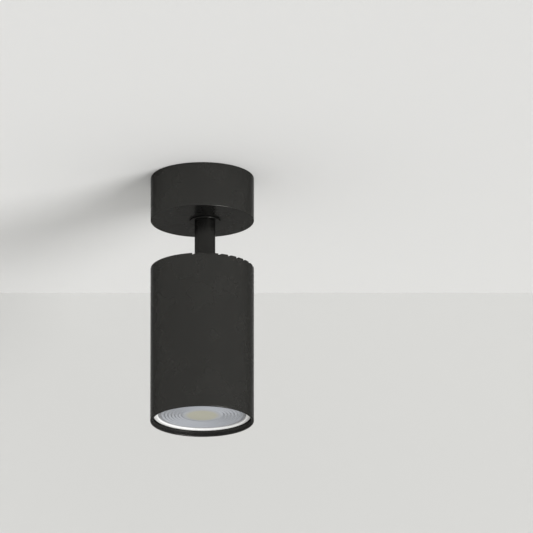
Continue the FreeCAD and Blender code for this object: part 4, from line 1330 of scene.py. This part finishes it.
# %% [markdown]
# ## What clamps the hinge
# Two nylon pads lie between the ears and the flats of the stem. Their friction keeps the head at
# the angle that it is set to, and nylon neither squeaks on the steel nor wears through its coat.

# %% Make the friction pads
PAD_GAP = 0.05 * MM
PAD_CORNER = 1.0 * MM

low, high = corners("tilt_friction_pads")
pads = []
for side in SIDES:
    pad = block((side * (FLATS / 2 + PAD_GAP), low.y, low.z), (side * high.x, high.y, high.z))
    ease(pad, PAD_CORNER, 4, lambda edge: runs_along(edge, 0))
    pads.append(carve(ease(pad, SHEET_EDGE), [pivot_rod(M3_HOLE, FULL_WIDTH)]))
piece("hinge_pads", together(pads), nylon, "tilt_friction_pads")

# %% [markdown]
# ## What clamps the swivel
# A nylon washer, a steel washer with a tab and a hexagon nut clamp the stem in the floor of the
# cup. The tab meets the lug of the cup after most of a turn, so the wires are never twisted off.

# %% Make the washers
TAB_HALF = 1.5 * MM
TAB_CORNER = 0.5 * MM
TAB_ROOT = 0.85


def washer(node):
    """A ring round the neck of the stem, and the corners of its node."""
    low, high = corners(node)
    outline = ring_outline(high.x, NECK_HOLE, low.z, high.z)
    return lathe(outline, MEDIUM, STEM_X, STEM_Y), low, high


disc = washer("swivel_friction_washer")[0]
piece("nylon_washer", ease(disc, SHEET_EDGE), nylon, "swivel_friction_washer")
disc, low, high = washer("stop_washer")


def at_tip(edge):
    """Is it an upright edge at the end of the tab?"""
    return upright(edge) and min(vert.co.y for vert in edge.verts) < low.y + NEAR


tab = block((-TAB_HALF, low.y, low.z), (TAB_HALF, STEM_Y - high.x * TAB_ROOT, high.z))
disc = weld([disc, ease(tab, TAB_CORNER, 3, at_tip)])
piece("tab_washer", ease(disc, SHEET_EDGE), zinc, "stop_washer")

# %% [markdown]
# The nut is a thin one, as on lamp pipes, with both sets of corners turned off. It is made on the
# middle axis like the small nut, drilled for the neck, and then moved over to the stem.

# %% Make the lock nut
NUT_FLATS = 14.0 * MM
low, high = corners("lock_nut")
nut = hexagon_bar(NUT_FLATS, low.z, high.z, both=True)
nut = carve(nut, [drill(0, 0, low.z - REACH, high.z + REACH, NECK_HOLE, 64)])
piece("neck_nut", placed(nut, [at((STEM_X, STEM_Y, 0))]), zinc, "lock_nut")

# %% [markdown]
# ## The supply terminals
# The block is moulded in ivory plastic, and its two legs snap into the windows of the plate. Each
# of its chambers is open at both ends. A groove under the block parts the two poles.

# %% Make the terminal block
POLES = (-4 * MM, 4 * MM)
LEG, LEG_ROOT = (1.5 * MM, 0.8 * MM), 0.5 * MM
CHAMBER_HALF = 2.5 * MM
CHAMBER_LOW, CHAMBER_TOP = -10.4 * MM, -5.8 * MM
PARTING_HALF, PARTING_DEPTH = 0.4 * MM, 0.6 * MM
BODY_EDGE, MOULD_EDGE = 0.4 * MM, 0.15 * MM

low, high = corners("terminal_block")
body = ease(block(low, (high.x, high.y, -PLATE_SHEET)), BODY_EDGE, 3)
legs = [ease(post(0, y, *LEG, -PLATE_SHEET - LEG_ROOT, high.z), MOULD_EDGE) for y in LATCHES]


def channel(x, half, bottom, top):
    """A cutter along the whole block."""
    return block((x - half, low.y - REACH, bottom), (x + half, high.y + REACH, top))


channels = [channel(x, CHAMBER_HALF, CHAMBER_LOW, CHAMBER_TOP) for x in POLES]
channels.append(channel(0, PARTING_HALF, low.z - REACH, low.z + PARTING_DEPTH))
terminal = carve(weld([body] + legs), channels)
piece("terminals", ease(terminal, MOULD_EDGE), ivory_plastic, "terminal_block")

# %% [markdown]
# In each chamber sits a spring clip: a strip bent round until its tongue slants back over the
# floor, where it bites on the wire. Its path runs in Y and Z, so it isn't a `folded_strip`.

# %% Make the spring clips
CLIP_SHEET = 0.5 * MM
CLIP_WIDTH = 4.4 * MM
TONGUE_RISE = 1.45 * MM
CLIP_EDGE = 0.05 * MM

low, high = corners("terminal_clips")
half = CLIP_SHEET / 2
strip = folded([(low.y, low.z + half), (high.y - half, low.z + half),
                (high.y - half, high.z - half), (low.y + half, low.z + TONGUE_RISE)],
               CLIP_SHEET, CLIP_SHEET)
clips = [sheet_cut([(x - CLIP_WIDTH / 2, y, z) for y, z in strip], Vector((CLIP_WIDTH, 0, 0)))
         for x in POLES]
piece("spring_clips", ease(together(clips), CLIP_EDGE, 1), spring_steel, "terminal_clips")

# %% [markdown]
# The earth wire goes under a square brass clamp, which the earth screw presses to the plate. A
# block is enough for it: first its upright corners are rounded, and after the hole its edges.

# %% Make the earth clamp
CLAMP_CORNER = 0.8 * MM
low, high = corners("earth_clamp")
clamp = ease(block(low, high), CLAMP_CORNER, 3, upright)
clamp = carve(clamp, [drill(earth_middle.x, earth_middle.y, low.z - REACH, high.z + REACH,
                            EARTH_HOLE)])
piece("earth_washer", ease(clamp, SHEET_EDGE), brass, "earth_clamp")

# %% [markdown]
# ## The wires
# Three wires pass the pivot bolt inside the stem: brown, blue, and green with yellow for earth.
# The two colours of the earth wire come from the sign of an object coordinate, because a real
# sleeve has its stripes along its length.

# %% Colour the sleeves
GREEN, YELLOW = (0.05, 0.26, 0.05, 1), (0.72, 0.58, 0.03, 1)


def striped(tree):
    """Green on one side of the sleeve and yellow on the other."""
    place = add(tree, "TexCoord").outputs["Object"]
    parts = add(tree, "SeparateXYZ", {"Vector": place}).outputs
    return colour_mix(tree, calculate(tree, "GREATER_THAN", parts["X"], 0.0), GREEN, YELLOW)


sleeve = {"roughness": 0.42, "tone": 0.06, "gloss": 0.06, "depth": 0.004}
brown = moulded("brown_sleeve", (0.16, 0.062, 0.022), **sleeve)
blue = moulded("blue_sleeve", (0.03, 0.12, 0.48), **sleeve)
earth_sleeve = moulded("earth_sleeve", (0.3, 0.4, 0.05), colour_source=striped, **sleeve)
print("sleeves:", brown.name, blue.name, earth_sleeve.name)

# %% [markdown]
# Each wire is a sleeve round a copper core, and the core shows at both ends, where the model
# leaves out the loose run to the terminals. Faces near the middle of a wire get the copper.

# %% Make the wires
WIRE_RADIUS = 0.8 * MM
CORE_RADIUS = 0.45 * MM
BARE_END = 0.05 * MM
WIRE_STEPS = 24
WIRE_PLACES = ((-0.85 * MM, 0.4 * MM), (0.85 * MM, 0.4 * MM), (0, -4.4 * MM))

low, high = corners("stem_wires")
first, last = low.z + BARE_END, high.z - BARE_END
outline = [(0, low.z), (CORE_RADIUS, low.z), (CORE_RADIUS, first), (WIRE_RADIUS, first),
           (WIRE_RADIUS, last), (CORE_RADIUS, last), (CORE_RADIUS, high.z), (0, high.z)]
wires = []
for number, place in enumerate(WIRE_PLACES):
    wire = lathe(outline, WIRE_STEPS, *place, closed=False)
    for face in wire.faces:
        aside = (face.calc_center_median().xy - Vector(place)).length
        face.material_index = number if aside > CORE_RADIUS * 1.02 else len(WIRE_PLACES)
    wires.append(wire)
piece("cable_cores", together(wires), [brown, blue, earth_sleeve, copper], "stem_wires")

# %% [markdown]
# ## The lampholder
# The holder is pressed and fired from steatite, so its corners are round and its glaze is soft
# and bright. Underneath are two keyholes: the round end lets the head of a pin in, and the narrow
# end, a short turn further, holds it by its neck.

# %% Press the holder
PIN_ORBIT = 5.0 * MM
LOCK_ANGLE = math.radians(15)
HOLDER_CORNER = 5.0 * MM
HOLDER_EDGE = 0.6 * MM


def kidney(radius, first, last, low, high):
    """A slot bent about the middle axis from one angle to another, with round ends."""
    points = []
    for middle, start in ((last, last), (first, first + math.pi)):
        points += [around(middle, PIN_ORBIT, low) + around(start + math.pi * step / 12, radius, 0)
                   for step in range(13)]
    return sheet_cut(points, Vector((0, 0, high - low)))


holder_low, holder_high = corners("lampholder")
holder = ease(block(holder_low, holder_high), HOLDER_CORNER, 10, upright)
ease(holder, HOLDER_EDGE, 3)
print("holder:", len(holder.faces), "faces before it is cut")

# %% [markdown]
# Above the lip of the keyholes each head stands in a chamber, and a square hole lets the wire
# out. The cutters are used one by one, because the exact solver is surer of a single one.

# %% Cut the holder
NECK_SLOT = 1.75 * MM
HEAD_SLOT = 2.75 * MM
CAVITY_LOW, CAVITY_TOP = -80.6 * MM, -77.2 * MM
WIRE_HOLE_HALF = 1.1 * MM
NECK_OVERLAP, DOOR_OVERLAP, HOLE_OVERLAP = 0.5 * MM, 0.2 * MM, 1.0 * MM
OPENING_EDGE = 0.2 * MM

under, over = holder_low.z - REACH, holder_high.z + REACH
for side in SIDES:
    y, locked = side * PIN_ORBIT, side * math.pi / 2
    entry = locked - LOCK_ANGLE
    door = around(entry, PIN_ORBIT, 0)
    keyhole = weld([kidney(NECK_SLOT, entry, locked, under, CAVITY_LOW + NECK_OVERLAP),
                    drill(door.x, door.y, under, CAVITY_LOW + DOOR_OVERLAP, HEAD_SLOT, SMALL)])
    chamber = block((-side * HEAD_SLOT, y - HEAD_SLOT, CAVITY_LOW),
                    (door.x + side * HEAD_SLOT, y + HEAD_SLOT, CAVITY_TOP))
    wire_hole = post(0, y, WIRE_HOLE_HALF, WIRE_HOLE_HALF, CAVITY_LOW + HOLE_OVERLAP, over)
    screw_hole = drill(side * HOLDER_SCREW_X, 0, holder_high.z - BLIND_DEPTH, over)
    for cutter in (keyhole, chamber, wire_hole, screw_hole):
        holder = carve(holder, [cutter])


def on_faces(edge):
    """Is it an edge of an opening in the lower or the upper face?"""
    heights = {round(vert.co.z / MM, 2) for vert in edge.verts}
    faces = ({round(holder_low.z / MM, 2)}, {round(holder_high.z / MM, 2)})
    return is_sharp(edge) and heights in faces


piece("ceramic_holder", ease(holder, OPENING_EDGE, 2, on_faces), ceramic, "lampholder")

# %% [markdown]
# The contacts are two brass blades at the top of the chambers, over the heads of the pins. Little
# more than their edges shows through the keyholes, so two eased blocks are enough.

# %% Make the contacts
low, high = corners("holder_contacts")
blades = [ease(block((low.x, side * PIN_ORBIT - high.x, low.z),
                     (high.x, side * PIN_ORBIT + high.x, high.z)), SHEET_EDGE) for side in SIDES]
piece("contact_blades", together(blades), brass, "holder_contacts")

# %% [markdown]
# ## The lamp behind its front
# The body of the lamp has 24 flat sides that give a grip and let air past, and tapers to a neck.
# A spin in 24 steps gives exactly those sides, and easing the long edges between them makes them
# look moulded. Behind, a room is cut for the driver.

# %% Make the body of the lamp
LAMP_SIDES = 24
LAMP_NECK = 12.2 * MM
SEAT_RADIUS = 22.4 * MM
BOARD_POCKET = 11.1 * MM
RIM_TOP = ring_high.z + 4.5 * MM
SIDE_EDGE = 0.5 * MM
ROOM_GAP = 0.05 * MM

shell_low, shell_high = corners("lamp_shell")
driver_low, driver_high = corners("lamp_driver")


def between_sides(edge):
    """Is it one of the long edges between two flat sides?"""
    rise = abs(edge.verts[0].co.z - edge.verts[1].co.z)
    middle = (edge.verts[0].co + edge.verts[1].co) / 2
    outside = rise > 2 * MM and middle.xy.length > SEAT_RADIUS * 0.5
    return outside and is_sharp(edge, math.radians(8))


shell = lathe([(0, board_high.z), (BOARD_POCKET, board_high.z), (BOARD_POCKET, shell_low.z),
               (SEAT_RADIUS, shell_low.z), (SEAT_RADIUS, ring_high.z), (LAMP_RADIUS, ring_high.z),
               (LAMP_RADIUS, RIM_TOP), (LAMP_NECK, shell_high.z), (0, shell_high.z)],
              LAMP_SIDES, closed=False)
ease(shell, SIDE_EDGE, 2, between_sides)
room = block((driver_low.x - ROOM_GAP, driver_low.y - ROOM_GAP, driver_low.z - 2 * ROOM_GAP),
             (driver_high.x + ROOM_GAP, driver_high.y + ROOM_GAP, shell_high.z + REACH))
piece("lamp_body", carve(shell, [room]), lamp_plastic, "lamp_shell")

# %% [markdown]
# The base twists into the holder with two headed pins, which are pressed into blind holes. It
# continues the flat sides of the body, so it is a spin in as many steps. The pins are turned
# parts, and each is a spin of its own about the place where it stands.

# %% Make the base and the pins
PIN_RADIUS = 1.5 * MM
PIN_HEAD = 2.2 * MM
PIN_DEPTH = 3 * MM
PIN_EDGE = 0.3 * MM
BASE_CHAMFER = (0.8 * MM, 1.2 * MM)
BASE_EDGE = 0.4 * MM

low, high = corners("lamp_base")
base = lathe([(0, low.z), (high.x, low.z), (high.x, high.z - BASE_CHAMFER[1]),
              (high.x - BASE_CHAMFER[0], high.z), (0, high.z)], LAMP_SIDES, closed=False)
base = carve(ease(base, BASE_EDGE),
             [drill(0, side * PIN_ORBIT, high.z - PIN_DEPTH, high.z + REACH, PIN_RADIUS)
              for side in SIDES])
piece("lamp_foot", base, white_plastic, "lamp_base")

low, high = corners("lamp_pins")
neck_end = high.z - PIN_HEAD
outline = [(0, low.z), (PIN_RADIUS, low.z), (PIN_RADIUS, neck_end), (high.x, neck_end),
           (high.x, high.z), (0, high.z)]
pins = [ease(lathe(outline, SMALL, 0, side * PIN_ORBIT, closed=False), PIN_EDGE, 3)
        for side in SIDES]
piece("contact_pins", together(pins), nickel, "lamp_pins")

# %% [markdown]
# The driver turns the mains into the low current that the source needs. It is a small circuit
# board that stands in the neck of the lamp, with a transformer, a round capacitor, a fuse and a
# chip. Only its outline matters for the fit, so the parts are simple blocks and rods.

# %% Make the driver
BOARD_THICKNESS = 1.2 * MM
FUSE_RADIUS = 0.9 * MM
CAPACITOR_RADIUS = 2.2 * MM
board_green = moulded("green_board", (0.03, 0.16, 0.055), 0.34, tone=0.12, depth=0.006)
part_black = moulded("black_parts", (0.025, 0.025, 0.027), 0.4, tone=0.1, gloss=0.1)
coil_tape = moulded("yellow_tape", (0.62, 0.44, 0.06), 0.4, tone=0.1, gloss=0.1)
board_top = driver_low.y + BOARD_THICKNESS
middle_z = (driver_low.z + driver_high.z) / 2


def on_board(x, y, z):
    """A point by its X, its height on the board and its Z from the middle, in millimetres."""
    return x * MM, board_top + y * MM, middle_z + z * MM


carrier = block(driver_low, (driver_high.x, board_top, driver_high.z))
coil = block(on_board(-6, 0, -4), (0.4 * MM, driver_high.y, middle_z + 3 * MM))
capacitor = rod(CAPACITOR_RADIUS, (3.8 * MM, 0.6 * MM, middle_z - 7 * MM),
                (3.8 * MM, 0.6 * MM, middle_z + 1.5 * MM), 32)
chip = block(on_board(2, 0, 3), on_board(5.6, 1.2, 7))
fuse = rod(FUSE_RADIUS, on_board(-5.4, 0.9, -6.5), on_board(-0.6, 0.9, -6.5), 24)
parts = []
for bm, edge, number in ((carrier, 0.1, 0), (coil, 0.5, 2), (capacitor, 0.3, 1), (chip, 0.15, 1),
                         (fuse, 0.15, 3)):
    ease(bm, edge * MM)
    for face in bm.faces:
        face.material_index = number
    parts.append(bm)
piece("driver_circuit", together(parts), [board_green, part_black, coil_tape, ivory_plastic],
      "lamp_driver")
